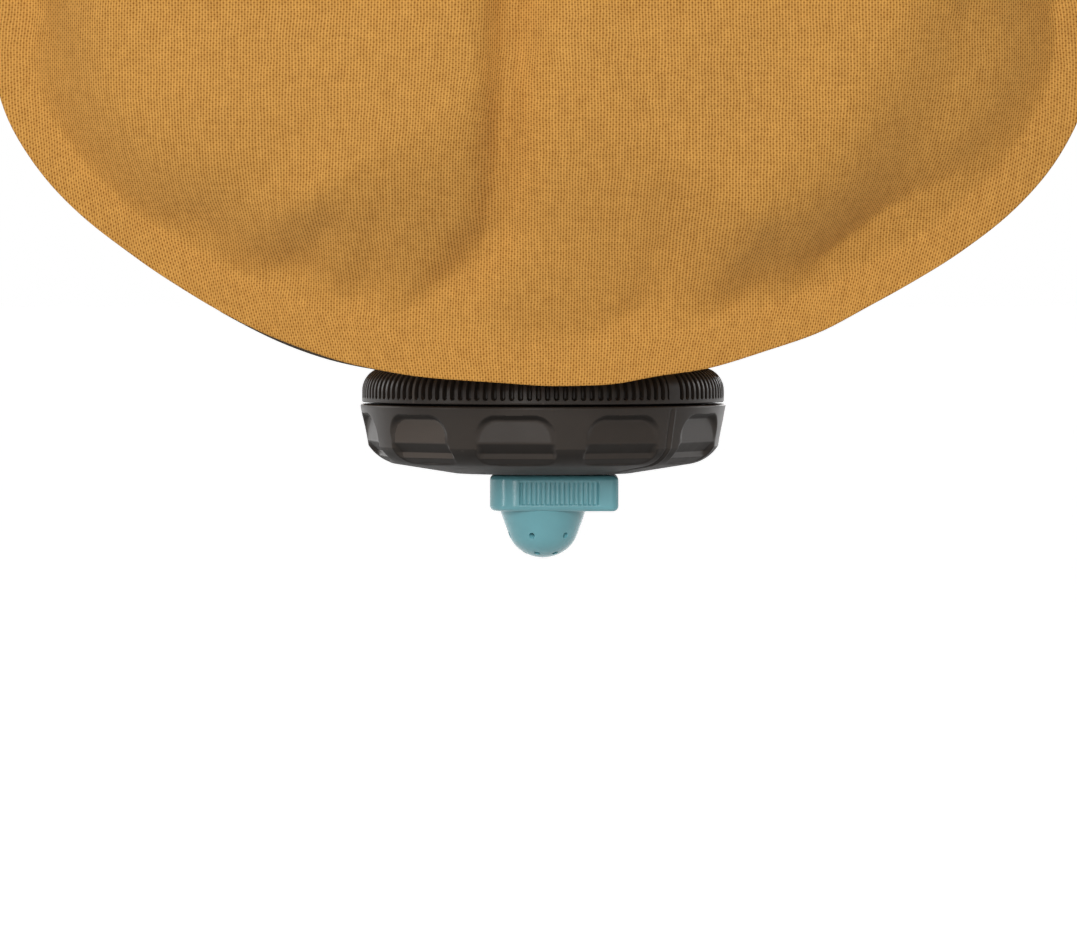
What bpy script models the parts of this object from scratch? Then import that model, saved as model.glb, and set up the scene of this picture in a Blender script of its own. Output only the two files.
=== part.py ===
"""A ten litre hanging water bag, welded from coated cloth, with a wide screw cap and a spray nozzle.

The origin is the middle of the flat underside of the carry handle's grip, which the bag hangs by.
+X is to the right of someone who faces the front panel, +Y goes from the front panel to the back
panel, and +Z is up. Sizes are in metres. The closure hangs at the bottom: a mouth flange clamped
to the cloth by a knurled ring, a cap that screws onto the flange's neck against a flat gasket, and
a nozzle in the cap that a quarter turn shuts.
"""

import math

import bmesh
import bpy
import numpy as np
from mathutils import Matrix, Vector

# Clearances
GAP = 0.0003  # between pieces that bear on each other
SEAL_GAP = 0.00015  # between a seal or clip and the groove it sits in
THREAD_GAP = 0.0006  # from a thread's crest to the wall it runs past
RIM_GAP = 0.0005  # between the cap's rim and the knurled ring
NOZZLE_GAP = 0.0004  # between the cap's underside and the turning nozzle

# Cloth panels
CLOTH = 0.0008
BAG_WIDTH = 0.2664
BAG_HEIGHT = 0.330
BAG_DEPTH = 0.120
BOTTOM_RISE = 0.0811  # from the lowest edge up to where the sides become straight
BOTTOM_POWER = 1.83  # of the curve that the bottom edge follows
TOP_CORNER = 0.060
SEAM_WIDTH = 0.009
PANEL_BULGE = 0.028
PANEL_FULLNESS = 0.62  # power of the dome's section: 0.5 is an ellipse, and more is slacker
GUSSET_BULGE = 0.004
GUSSET_FLAT = 0.3  # share of the gusset's depth that stays flat along its middle
MOUTH_PANEL_LENGTH = 0.156
MOUTH_DISC_MARGIN = 0.002  # flat cloth past the edge of the mouth flange
MOUTH_HOLE_EASE = 0.0010  # of the hole in the cloth round the neck

# Handle and lash straps
HANDLE_RISE = 0.070  # from the bag's top edge to the grip's underside
HANDLE_SPAN = 0.104  # between the handle's inner stitch lines
HANDLE_CREST = 0.074
WEBBING = 0.0016
WEBBING_WIDTH = 0.025
FOOT_LENGTH = 0.030  # of webbing sewn down at each end of a strap
STRAP_BEND = 0.008
GRIP_LENGTH = 0.062
GRIP_HEIGHT = 0.0076
GRIP_WALL = 0.0030  # at the sides of the webbing
GRIP_EDGE = 0.0022
PATCH = 0.0010
PATCH_MARGIN = 0.0045
PATCH_CORNER = 0.006
LASH_LENGTH = 0.150
LASH_CENTRE = 0.178  # above the bag's lowest edge
LASH_STANDOFF = 0.013
LASH_WIDTH = 0.020

# Mouth flange and knurled ring
BAG_ABOVE_CAP = 0.0053  # from the cap's rim up to the bag's lowest edge
NECK_BORE = 0.0346
NECK_WALL = 0.0024
NECK_DROP = 0.0102  # below the cap's rim
FLANGE_RADIUS = 0.0465
FLANGE = 0.0025
FLANGE_GASKET = 0.0015
RING_RADIUS = 0.0450
RING_HEIGHT = 0.0086
RING_SHOULDER = 0.0058
SLOT_COUNT = 128
SLOT_WIDTH = 0.0013  # where the slot meets the ring's surface
SLOT_DEPTH = 0.0011
SLOT_START = 0.0010  # above the ring's lower edge

# Screw thread
THREAD_HEIGHT = 0.0014
THREAD_STARTS = 4
THREAD_LEAD = 0.018
THREAD_BASE = 0.0017
THREAD_CREST = 0.0009
THREAD_ANGLE = math.radians(128)
LUG_ANGLE = math.radians(44)
THREAD_END = 0.0003  # from the neck's lip to the lowest flank

# Screw cap
CAP_RADIUS = 0.0454
CAP_DEPTH = 0.0172
CAP_GASKET = 0.0012
SKIRT_RADIUS = 0.0436  # where the straight skirt meets the rounded corner
SKIRT_HEIGHT = 0.0104
CORNER_RADIUS = 0.0101
CORNER_SLOPES = (math.radians(33), math.radians(80.5))  # from upright, at the corner's two ends
FACE_RADIUS = 0.0221  # of the flat middle of the underside
RIM_ROUND = 0.0005
SCALLOP_COUNT = 10
SCALLOP_TURN = math.radians(-9)  # of the first scallop, to the right of the front
SCALLOP_WIDTH = 0.0200
SCALLOP_HEIGHT = 0.0125
SCALLOP_TOP = 0.0022  # below the rim
SCALLOP_DEPTH = 0.0018  # at the middle of the flat floor
SCALLOP_UPPER_ROUND = 0.0055
SCALLOP_LOWER_ROUND = 0.0030
SOCKET_HEIGHT = 0.014
SOCKET_WALL = 0.0027

# Spray nozzle
STEM_RADIUS = 0.0060
STEM_BORE = 0.0036
STEM_TOP = 0.0030  # of stem above the socket
STEM_ROOF = 0.0045  # of solid stem above the bore's end, measured from the socket's top
GROOVE_DEPTH = 0.0013
ORING_RADIUS = 0.0005
WINDOW_WIDTH = 0.0050
WINDOW_HEIGHT = 0.0050
WINDOW_SILL = 0.0035  # above the cap's floor
CLIP = 0.0008
CLIP_RADIUS = 0.0084
CLIP_MOUTH = 0.0070
BAR_SHORT_END = 0.0132
BAR_LONG_END = 0.0187
BAR_DEPTH = 0.0230
BAR_HEIGHT = 0.0089
BAR_SHORT_ROUND = 0.0070
BAR_LONG_ROUND = 0.0020
BAR_EDGE = 0.0012
FLUTE_COUNT = 17
FLUTE_PITCH = 0.00117
FLUTE_DEPTH = 0.0004
FLUTE_LENGTH = 0.0062
FLUTE_MIDDLE = 0.0040  # of the fluted band, to the right of the axis
DOME_RADIUS = 0.0107
DOME_SHOULDER_RADIUS = 0.0081
DOME_SHOULDER = 0.0072  # below the bar
DOME_DEPTH = 0.0118  # below the bar
CHAMBER_RADIUS = 0.0066
CHAMBER_FLOOR = 0.0022  # of plastic left under the chamber
JET_DIAMETER = 0.0015
JET_COUNT = 6  # round each of the two rings
JET_TURN = math.radians(-79)  # of the first jet of each ring, to the right of the front
UPPER_JETS = (0.0048, math.radians(40))  # below the bar, and the jets' slope below level
LOWER_JETS = (0.0093, math.radians(66))

# Fineness of the curves
ROUND_STEPS = 48
SMALL_STEPS = 24
SECTION_SIDES = 6  # of an O-ring, a jet
MOUTH_STEPS = 9
SIDE_STEPS = 8
STRAIGHT_STEPS = 3
TOP_STEPS = 3
ROUND_CORNER_STEPS = 4
SHOULDER_STEPS = 2
THREAD_STEP = math.radians(11)

SQUARE = ((-1, -1), (1, -1), (1, 1), (-1, 1))  # the corners' signs, in order

# Places worked out from the sizes
BAG_TOP = -HANDLE_RISE
BAG_BOTTOM = BAG_TOP - BAG_HEIGHT
PARTING = BAG_BOTTOM - BAG_ABOVE_CAP
HALF_WIDTH = BAG_WIDTH / 2
GUSSET_HALF_DEPTH = BAG_DEPTH / 2 - CLOTH - GAP
NECK_RADIUS = NECK_BORE + NECK_WALL
CREST_RADIUS = NECK_RADIUS + THREAD_HEIGHT
RING_BORE = CREST_RADIUS + GAP
RING_TOP = RIM_GAP + RING_HEIGHT
DISC_TOP = RING_TOP + GAP + CLOTH
FLANGE_BOTTOM = DISC_TOP + GAP + FLANGE_GASKET + GAP
CAP_WALL_RADIUS = CREST_RADIUS + THREAD_GAP
CAP_FLOOR = -(NECK_DROP + GAP + CAP_GASKET + GAP)
SOCKET_BORE = STEM_RADIUS + GAP
SOCKET_TOP = CAP_FLOOR + SOCKET_HEIGHT
WINDOW_MIDDLE = CAP_FLOOR + WINDOW_SILL + WINDOW_HEIGHT / 2
BAR_TOP = -CAP_DEPTH - NOZZLE_GAP
BAR_BOTTOM = BAR_TOP - BAR_HEIGHT
BAR_MIDDLE = (BAR_TOP + BAR_BOTTOM) / 2
GROOVE_RADIUS = STEM_RADIUS - GROOVE_DEPTH
THREAD_LOW = -NECK_DROP + THREAD_BASE / 2 + THREAD_END


def clear_scene():
    for thing in list(bpy.data.objects):
        bpy.data.objects.remove(thing)


def material(name, colour, roughness, metallic=0.0):
    """A Principled material of one colour."""
    made = bpy.data.materials.new(name)
    made.use_nodes = True
    shader = made.node_tree.nodes["Principled BSDF"]
    shader.inputs["Base Color"].default_value = (*colour, 1.0)
    shader.inputs["Roughness"].default_value = roughness
    shader.inputs["Metallic"].default_value = metallic
    made.diffuse_color = (*colour, 1.0)
    return made


def empty(name, location):
    axis = bpy.data.objects.new(name, None)
    axis.location = location
    bpy.context.scene.collection.objects.link(axis)
    return axis


def add_object(name, points, faces, finish=None, parent=None, solid=True):
    """An object made of these points and faces, shaded smooth except across sharp folds."""
    bm = bmesh.new()
    vertices = [bm.verts.new(point) for point in points]
    for face in faces:
        bm.faces.new([vertices[index] for index in face])
    bmesh.ops.remove_doubles(bm, verts=bm.verts, dist=1e-6)
    bmesh.ops.dissolve_degenerate(bm, edges=bm.edges, dist=1e-7)
    if solid:
        bmesh.ops.recalc_face_normals(bm, faces=bm.faces)
    mesh = bpy.data.meshes.new(name)
    bm.to_mesh(mesh)
    bm.free()
    mesh.shade_smooth()
    mesh.set_sharp_from_angle(angle=math.radians(35))
    made = bpy.data.objects.new(name, mesh)
    bpy.context.scene.collection.objects.link(made)
    if finish:
        mesh.materials.append(finish)
    if parent:
        made.parent = parent
    return made


def thicken(surface, thickness, offset=-1.0):
    """Gives a surface its thickness, behind the faces it already has unless offset says otherwise."""
    solidify = surface.modifiers.new("thickness", "SOLIDIFY")
    solidify.thickness = thickness
    solidify.offset = offset
    solidify.use_even_offset = True
    return surface


def combine(target, other, operation):
    """Cuts the other object from the target or joins it on, and keeps it only as a guide."""
    other.hide_render = True
    other.display_type = "WIRE"
    boolean = target.modifiers.new(other.name, "BOOLEAN")
    boolean.operation = operation
    boolean.solver = "EXACT"
    boolean.object = other
    return target


def cut(target, cutter):
    return combine(target, cutter, "DIFFERENCE")


def join(target, addition):
    return combine(target, addition, "UNION")


def filleted(corners, closed=True):
    """Points along straight runs that meet at these (x, y, radius) corners, each one rounded."""
    path = []
    for index, (x, y, radius) in enumerate(corners):
        corner = Vector((x, y, 0.0))
        if radius == 0 or (not closed and index in (0, len(corners) - 1)):
            path.append(corner)
            continue
        before = Vector((*corners[index - 1][:2], 0.0)) - corner
        after = Vector((*corners[(index + 1) % len(corners)][:2], 0.0)) - corner
        half_angle = before.angle(after) / 2
        bisector = (before.normalized() + after.normalized()).normalized()
        centre = corner + bisector * radius / math.sin(half_angle)
        reach = radius / math.tan(half_angle)
        start = (corner + before.normalized() * reach - centre).normalized()
        end = (corner + after.normalized() * reach - centre).normalized()
        for step in range(ROUND_CORNER_STEPS + 1):
            path.append(centre + radius * start.slerp(end, step / ROUND_CORNER_STEPS))
    return path


def turned(name, profile, finish=None, parent=None, steps=ROUND_STEPS):
    """A solid turned about its Z axis from a closed profile of (radius, height) points."""
    points = []
    for step in range(steps):
        angle = math.tau * step / steps
        for radius, height in profile:
            points.append((radius * math.cos(angle), radius * math.sin(angle), height))
    size = len(profile)
    faces = []
    for step in range(steps):
        here = step * size
        there = (step + 1) % steps * size
        for index in range(size):
            after = (index + 1) % size
            if profile[index][0] == 0 and profile[after][0] == 0:
                continue
            faces.append((here + index, here + after, there + after, there + index))
    return add_object(name, points, faces, finish, parent)


def prism(name, outline, bottom, top, finish=None, parent=None):
    """An outline of (x, y) points extruded from the bottom height to the top height."""
    count = len(outline)
    points = [(point[0], point[1], height) for height in (bottom, top) for point in outline]
    faces = [tuple(range(count)), tuple(range(count, 2 * count))]
    for index in range(count):
        after = (index + 1) % count
        faces.append((index, after, count + after, count + index))
    return add_object(name, points, faces, finish, parent)


def repeated(name, shape, places, parent=None):
    """One guide object that holds a copy of the shape's mesh at each place, in place of the shape."""
    bm = bmesh.new()
    for place in places:
        copy = shape.data.copy()
        copy.transform(place)
        bm.from_mesh(copy)
        bpy.data.meshes.remove(copy)
    mesh = bpy.data.meshes.new(name)
    bm.to_mesh(mesh)
    bm.free()
    bpy.data.objects.remove(shape)
    made = bpy.data.objects.new(name, mesh)
    bpy.context.scene.collection.objects.link(made)
    made.parent = parent
    return made


def turn(angle):
    return Matrix.Rotation(angle, 4, "Z")


def regular(sides, radius):
    """The corners of a regular polygon, as (x, y) points."""
    angles = [math.tau * side / sides for side in range(sides)]
    return [(radius * math.cos(angle), radius * math.sin(angle)) for angle in angles]


def from_front(angle):
    """The turn about Z that carries -Y, the front, by this angle towards +X."""
    return turn(angle - math.pi / 2)


def bottom_station(angle):
    """A point on the bag's curved bottom edge, and the direction out of the bag there.

    The angle runs from 0 at the lowest point to a quarter turn where the side becomes straight.
    """
    share = 2 / BOTTOM_POWER
    across, down = math.sin(angle), math.cos(angle)
    place = Vector(
        (HALF_WIDTH * across**share, 0.0, BAG_BOTTOM + BOTTOM_RISE * (1 - max(down, 0.0) ** share))
    )
    out = Vector((across ** (2 - share) / HALF_WIDTH, 0.0, -max(down, 0.0) ** (2 - share) / BOTTOM_RISE))
    return place, out.normalized()


def mouth_stations():
    """Stations along the mouth gusset's right half, from the lowest point outwards."""
    last = math.asin((MOUTH_PANEL_LENGTH / BAG_WIDTH) ** (BOTTOM_POWER / 2))
    return [bottom_station(last * step / MOUTH_STEPS) for step in range(MOUTH_STEPS + 1)]


def side_stations():
    """Stations along the right gusset, from the mouth gusset's end up to the top corner."""
    first = math.asin((MOUTH_PANEL_LENGTH / BAG_WIDTH) ** (BOTTOM_POWER / 2))
    stations = []
    for step in range(SIDE_STEPS + 1):
        stations.append(bottom_station(first + (math.pi / 2 - first) * step / SIDE_STEPS))
    low = BAG_BOTTOM + BOTTOM_RISE
    high = BAG_TOP - TOP_CORNER
    for step in range(1, STRAIGHT_STEPS + 1):
        height = low + (high - low) * step / STRAIGHT_STEPS
        stations.append((Vector((HALF_WIDTH, 0.0, height)), Vector((1.0, 0.0, 0.0))))
    return stations


def top_stations():
    """Stations round the right top corner and along the top to its middle."""
    centre = Vector((HALF_WIDTH - TOP_CORNER, 0.0, BAG_TOP - TOP_CORNER))
    stations = []
    for step in range(ROUND_CORNER_STEPS + 2):
        angle = math.pi / 2 * step / (ROUND_CORNER_STEPS + 1)
        out = Vector((math.cos(angle), 0.0, math.sin(angle)))
        stations.append((centre + TOP_CORNER * out, out))
    for step in range(1, TOP_STEPS + 1):
        across = centre.x * (1 - step / TOP_STEPS)
        stations.append((Vector((across, 0.0, BAG_TOP)), Vector((0.0, 0.0, 1.0))))
    return stations


def mirrored(stations):
    """The same stations on the left half, in the order that carries on round the bag."""
    flip = Vector((-1.0, 1.0, 1.0))
    return [(place * flip, out * flip) for place, out in reversed(stations)]


def moved_along(station, distance):
    """A station shifted along the edge, in the direction that runs round the bag."""
    place, out = station
    along = Vector((-out.z, 0.0, out.x))
    return place + along * distance, out


def gusset_bulge(share):
    """How far the gusset swells out at this share of its half depth, with a flat middle strip."""
    return GUSSET_BULGE * min(1.0, (1 - share**2) / (1 - GUSSET_FLAT**2))


def web_shares():
    """Shares of the half depth where the gusset's web has its lengthwise folds."""
    quarter = (1 + GUSSET_FLAT) / 2
    return (-1.0, -quarter, -GUSSET_FLAT, GUSSET_FLAT, quarter, 1.0)


def web_point(station, share):
    place, out = station
    swell = gusset_bulge(share) - SEAM_WIDTH
    return place + out * swell + Vector((0.0, GUSSET_HALF_DEPTH * share, 0.0))


def seam_tip(station, side):
    """The outer edge of the gusset's turned-out seam, in front for side -1 and behind for +1."""
    return station[0] + Vector((0.0, GUSSET_HALF_DEPTH * side, 0.0))


def gusset(name, stations, cloth):
    """A strip of cloth between the two panels, its long edges turned out behind their seams."""
    points = []
    for station in stations:
        points.append(seam_tip(station, -1))
        points += [web_point(station, share) for share in web_shares()]
        points.append(seam_tip(station, 1))
    width = len(web_shares()) + 2
    faces = []
    for row in range(len(stations) - 1):
        for column in range(width - 1):
            corner = row * width + column
            faces.append((corner, corner + width, corner + width + 1, corner + 1))
    return thicken(add_object(name, points, faces, cloth, solid=False), CLOTH)


def mouth_gusset(cloth):
    """The gusset's lowest piece, drawn down to a flat disc that the mouth flange clamps."""
    right = mouth_stations()
    stations = mirrored(right)[:-1] + right
    seam_x = [web_point(station, -1).x for station in stations]
    seam_z = [web_point(station, -1).z for station in stations]
    front = [web_point(station, -1) for station in stations]
    back = [web_point(station, 1) for station in reversed(stations)]
    inner_shares = web_shares()[1:-1]
    right_edge = [web_point(stations[-1], share) for share in inner_shares]
    left_edge = [web_point(stations[0], share) for share in reversed(inner_shares)]
    edge = front + right_edge + back + left_edge
    disc_height = PARTING + DISC_TOP
    disc_radius = FLANGE_RADIUS + MOUTH_DISC_MARGIN
    rings = [edge]
    for share in (0.6, 0.3):
        ring = []
        for point in edge:
            around = math.atan2(point.y, point.x)
            x = disc_radius * math.cos(around) * (1 - share) + point.x * share
            y = disc_radius * math.sin(around) * (1 - share) + point.y * share
            hung = np.interp(x, seam_x, seam_z) - gusset_bulge(y / GUSSET_HALF_DEPTH)
            ring.append(Vector((x, y, disc_height + (hung - disc_height) * share)))
        rings.append(ring)
    for radius in (disc_radius, RING_BORE + MOUTH_HOLE_EASE):
        ring = []
        for point in edge:
            around = math.atan2(point.y, point.x)
            ring.append(Vector((radius * math.cos(around), radius * math.sin(around), disc_height)))
        rings.append(ring)
    count = len(edge)
    points = [point for ring in rings for point in ring]
    faces = []
    for ring in range(len(rings) - 1):
        for index in range(count):
            after = (index + 1) % count
            outer, inner = ring * count, (ring + 1) * count
            faces.append((outer + index, outer + after, inner + after, inner + index))
    for side, edge_stations, first in (
        (-1, stations, 0),
        (1, stations[::-1], len(front) + len(right_edge)),
    ):
        tip = len(points)
        points += [seam_tip(station, side) for station in edge_stations]
        for index in range(len(edge_stations) - 1):
            faces.append((tip + index, tip + index + 1, first + index + 1, first + index))
    return thicken(add_object("mouth_gusset", points, faces, cloth, solid=False), CLOTH)


def panel(name, side, cloth):
    """The front panel for side -1 or the back panel for +1: a flat seam round a full dome."""
    right = mouth_stations() + side_stations()[1:] + top_stations()[1:]
    stations = right + mirrored(right)[1:-1]
    spine_low = BAG_BOTTOM + BOTTOM_RISE
    spine_high = BAG_TOP - BOTTOM_RISE
    points = [place + Vector((0.0, side * BAG_DEPTH / 2, 0.0)) for place, out in stations]
    for share in (0.0, 0.05, 0.16, 0.42, 1.0):
        height = PANEL_BULGE * (1 - (1 - share) ** 2) ** PANEL_FULLNESS
        for place, out in stations:
            seam = place - out * SEAM_WIDTH
            spine = Vector((0.0, 0.0, min(max(seam.z, spine_low), spine_high)))
            point = seam.lerp(spine, share)
            points.append(point + Vector((0.0, side * (BAG_DEPTH / 2 + height), 0.0)))
    count = len(stations)
    faces = []
    for outer in range(0, len(points) - count, count):
        for index in range(count):
            after = (index + 1) % count
            face = (outer + index, outer + after, outer + count + after, outer + count + index)
            faces.append(face if side < 0 else face[::-1])
    return thicken(add_object(name, points, faces, cloth, solid=False), CLOTH)


def strap_path(span, crest, standoff):
    """The middle line of a strap: a sewn foot at each end and a raised run between them."""
    foot = span / 2 + FOOT_LENGTH
    return filleted(
        (
            (-foot, 0.0, 0.0),
            (-span / 2, 0.0, STRAP_BEND),
            (-crest / 2, standoff, STRAP_BEND),
            (crest / 2, standoff, STRAP_BEND),
            (span / 2, 0.0, STRAP_BEND),
            (foot, 0.0, 0.0),
        ),
        closed=False,
    )


def strap(name, path, width, webbing):
    """Webbing laid along a path in its own XZ plane, with its width along Y."""
    points = [(point.x, side * width / 2, point.y) for point in path for side in (-1, 1)]
    faces = []
    for index in range(0, len(points) - 2, 2):
        faces.append((index, index + 2, index + 3, index + 1))
    return thicken(add_object(name, points, faces, webbing, solid=False), WEBBING, offset=0.0)


def patch(name, width, finish):
    """A flat reinforcement under a strap's foot, centred on its own origin and lying in XY."""
    length = FOOT_LENGTH + 2 * PATCH_MARGIN
    across = width + 2 * PATCH_MARGIN
    outline = filleted([(x * length / 2, y * across / 2, PATCH_CORNER) for x, y in SQUARE])
    return prism(name, outline, 0.0, PATCH, finish)


def handle(webbing, rubber, patch_finish):
    """The carry handle: webbing sewn to two patches on the base gusset, with a grip round its crest."""
    cloth_top = BAG_TOP - SEAM_WIDTH + GUSSET_BULGE + CLOTH
    foot_height = cloth_top + GAP + PATCH + GAP + WEBBING / 2
    crest_height = GRIP_HEIGHT / 2
    path = strap_path(HANDLE_SPAN, HANDLE_CREST, crest_height - foot_height)
    loop = strap("handle_strap", path, WEBBING_WIDTH, webbing)
    loop.location.z = foot_height
    for side, name in ((-1, "handle_patch_left"), (1, "handle_patch_right")):
        base = patch(name, WEBBING_WIDTH, patch_finish)
        base.location = (side * (HANDLE_SPAN + FOOT_LENGTH) / 2, 0.0, cloth_top + GAP)
    width = WEBBING_WIDTH + 2 * (GAP + GRIP_WALL)
    section = filleted([(x * width / 2, y * GRIP_HEIGHT / 2, GRIP_EDGE) for x, y in SQUARE])
    grip = prism("handle_grip", section, -GRIP_LENGTH / 2, GRIP_LENGTH / 2, rubber)
    slot_width = WEBBING_WIDTH / 2 + GAP
    slot_height = WEBBING / 2 + GAP
    slot = [(x * slot_width, y * slot_height) for x, y in SQUARE]
    channel = prism("handle_grip_channel", slot, -GRIP_LENGTH, GRIP_LENGTH, parent=grip)
    cut(grip, channel)
    # The section is drawn in XY, so the grip is laid along X with its depth along Y.
    grip.rotation_euler = (math.pi / 2, 0.0, math.pi / 2)
    grip.location.z = crest_height


def lash_straps(webbing, patch_finish):
    """A webbing loop down the middle of each side gusset, sewn to an upper and a lower patch."""
    cloth_out = HALF_WIDTH - SEAM_WIDTH + GUSSET_BULGE + CLOTH
    foot_out = cloth_out + GAP + PATCH + GAP + WEBBING / 2
    middle = BAG_BOTTOM + LASH_CENTRE
    span = LASH_LENGTH - 2 * FOOT_LENGTH
    for side, name in ((-1, "left"), (1, "right")):
        upright = (0.0, side * math.pi / 2, 0.0)
        loop = strap(
            f"side_strap_{name}",
            strap_path(span, span - 2 * LASH_STANDOFF, LASH_STANDOFF),
            LASH_WIDTH,
            webbing,
        )
        loop.rotation_euler = upright
        loop.location = (side * foot_out, 0.0, middle)
        for end, place in ((-1, "lower"), (1, "upper")):
            base = patch(f"side_patch_{name}_{place}", LASH_WIDTH, patch_finish)
            base.rotation_euler = upright
            base.location = (
                side * (cloth_out + GAP),
                0.0,
                middle + end * (LASH_LENGTH - FOOT_LENGTH) / 2,
            )


def helical_ribs(name, base, crest, low, angle, parent):
    """The thread's ribs, one a start, that climb from this height through the angle given."""
    steps = max(2, round(angle / THREAD_STEP))
    section = (
        (base, -THREAD_BASE / 2),
        (crest, -THREAD_CREST / 2),
        (crest, THREAD_CREST / 2),
        (base, THREAD_BASE / 2),
    )
    points = []
    faces = []
    for start in range(THREAD_STARTS):
        first = len(points)
        for step in range(steps + 1):
            around = angle * step / steps
            place = turn(math.tau * start / THREAD_STARTS + around)
            height = low + THREAD_LEAD * around / math.tau
            points += [place @ Vector((radius, 0.0, height + offset)) for radius, offset in section]
        for step in range(steps):
            for side in range(4):
                here = first + 4 * step
                faces.append(
                    (here + side, here + (side + 1) % 4, here + 4 + (side + 1) % 4, here + 4 + side)
                )
        last = first + 4 * steps
        faces += [tuple(range(first, first + 4)), tuple(range(last, last + 4))]
    return add_object(name, points, faces, parent=parent)


def mouth_flange(plastic, axis):
    """The flange inside the bag, with the neck that passes out through the cloth and carries the thread."""
    lip_round = NECK_WALL / 4
    top = FLANGE_BOTTOM + FLANGE
    shoulder = RIM_GAP - THREAD_HEIGHT
    profile = (
        (NECK_BORE, -NECK_DROP),
        (NECK_BORE, top - lip_round),
        (NECK_BORE + lip_round, top),
        (FLANGE_RADIUS, top),
        (FLANGE_RADIUS, FLANGE_BOTTOM),
        (CREST_RADIUS, FLANGE_BOTTOM),
        (CREST_RADIUS, RIM_GAP),
        (NECK_RADIUS, shoulder),
        (NECK_RADIUS, -NECK_DROP),
    )
    flange = turned("mouth_flange", profile, plastic, axis)
    embedded = NECK_RADIUS - NECK_WALL / 4
    ribs = helical_ribs("neck_thread", embedded, CREST_RADIUS, THREAD_LOW, THREAD_ANGLE, axis)
    return join(flange, ribs)


def flange_gasket(rubber, axis):
    bottom = DISC_TOP + GAP
    profile = (
        (RING_BORE, bottom),
        (RING_BORE, bottom + FLANGE_GASKET),
        (FLANGE_RADIUS - GAP, bottom + FLANGE_GASKET),
        (FLANGE_RADIUS - GAP, bottom),
    )
    return turned("flange_gasket", profile, rubber, axis)


def knurled_ring(plastic, axis):
    """The ring that clamps the cloth from outside, with upright slots round it for grip."""
    profile = [(RING_BORE, RIM_GAP), (RING_BORE, RING_TOP)]
    for step in range(SHOULDER_STEPS + 1):
        angle = math.pi / 2 * (1 - step / SHOULDER_STEPS)
        profile.append(
            (
                RING_RADIUS - RING_SHOULDER * (1 - math.cos(angle)),
                RING_TOP - RING_SHOULDER * (1 - math.sin(angle)),
            )
        )
    profile.append((RING_RADIUS, RIM_GAP))
    ring = turned("knurled_ring", profile, plastic, axis, SLOT_COUNT // 2)
    floor = RING_RADIUS - SLOT_DEPTH
    outline = ((floor, 0.0), (RING_RADIUS + SLOT_DEPTH, -SLOT_WIDTH), (RING_RADIUS + SLOT_DEPTH, SLOT_WIDTH))
    slot = prism("slot", outline, RIM_GAP + SLOT_START, RING_TOP + SLOT_START)
    places = [from_front(math.tau * (index + 0.5) / SLOT_COUNT) for index in range(SLOT_COUNT)]
    return cut(ring, repeated("knurled_ring_slots", slot, places, axis))


def cap_gasket(rubber, axis):
    """The flat gasket on the cap's floor, under the neck's lip."""
    inner = NECK_BORE - NECK_WALL / 3
    outer = NECK_RADIUS + GAP
    low = CAP_FLOOR + GAP
    profile = ((inner, low), (inner, low + CAP_GASKET), (outer, low + CAP_GASKET), (outer, low))
    return turned("cap_gasket", profile, rubber, axis)


def skirt_profile(inset=0.0):
    """The skirt and the rounded corner below it, drawn in from the cap's outer surface by inset."""
    first, last = CORNER_SLOPES
    centre = SKIRT_RADIUS - CORNER_RADIUS * math.cos(first)
    height = -SKIRT_HEIGHT + CORNER_RADIUS * math.sin(first)
    radius = CORNER_RADIUS - inset
    profile = [(CAP_RADIUS - inset, -RIM_ROUND), (SKIRT_RADIUS - inset, -SKIRT_HEIGHT)]
    for step in range(1, ROUND_CORNER_STEPS + 1):
        slope = first + (last - first) * step / ROUND_CORNER_STEPS
        profile.append((centre + radius * math.cos(slope), height - radius * math.sin(slope)))
    return profile


def cap_profile():
    """The cap's section: the socket, the floor, the wall, the rim, the skirt and the underside."""
    corner = CAP_WALL_RADIUS - (NECK_RADIUS + 2 * GAP)
    profile = [
        (SOCKET_BORE, -CAP_DEPTH),
        (SOCKET_BORE, SOCKET_TOP),
        (SOCKET_BORE + SOCKET_WALL, SOCKET_TOP),
        (SOCKET_BORE + SOCKET_WALL, CAP_FLOOR),
        (CAP_WALL_RADIUS - corner, CAP_FLOOR),
        (CAP_WALL_RADIUS, CAP_FLOOR + corner),
        (CAP_WALL_RADIUS, 0.0),
        (CAP_RADIUS - RIM_ROUND, 0.0),
    ]
    return profile + skirt_profile() + [(FACE_RADIUS, -CAP_DEPTH)]


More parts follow.
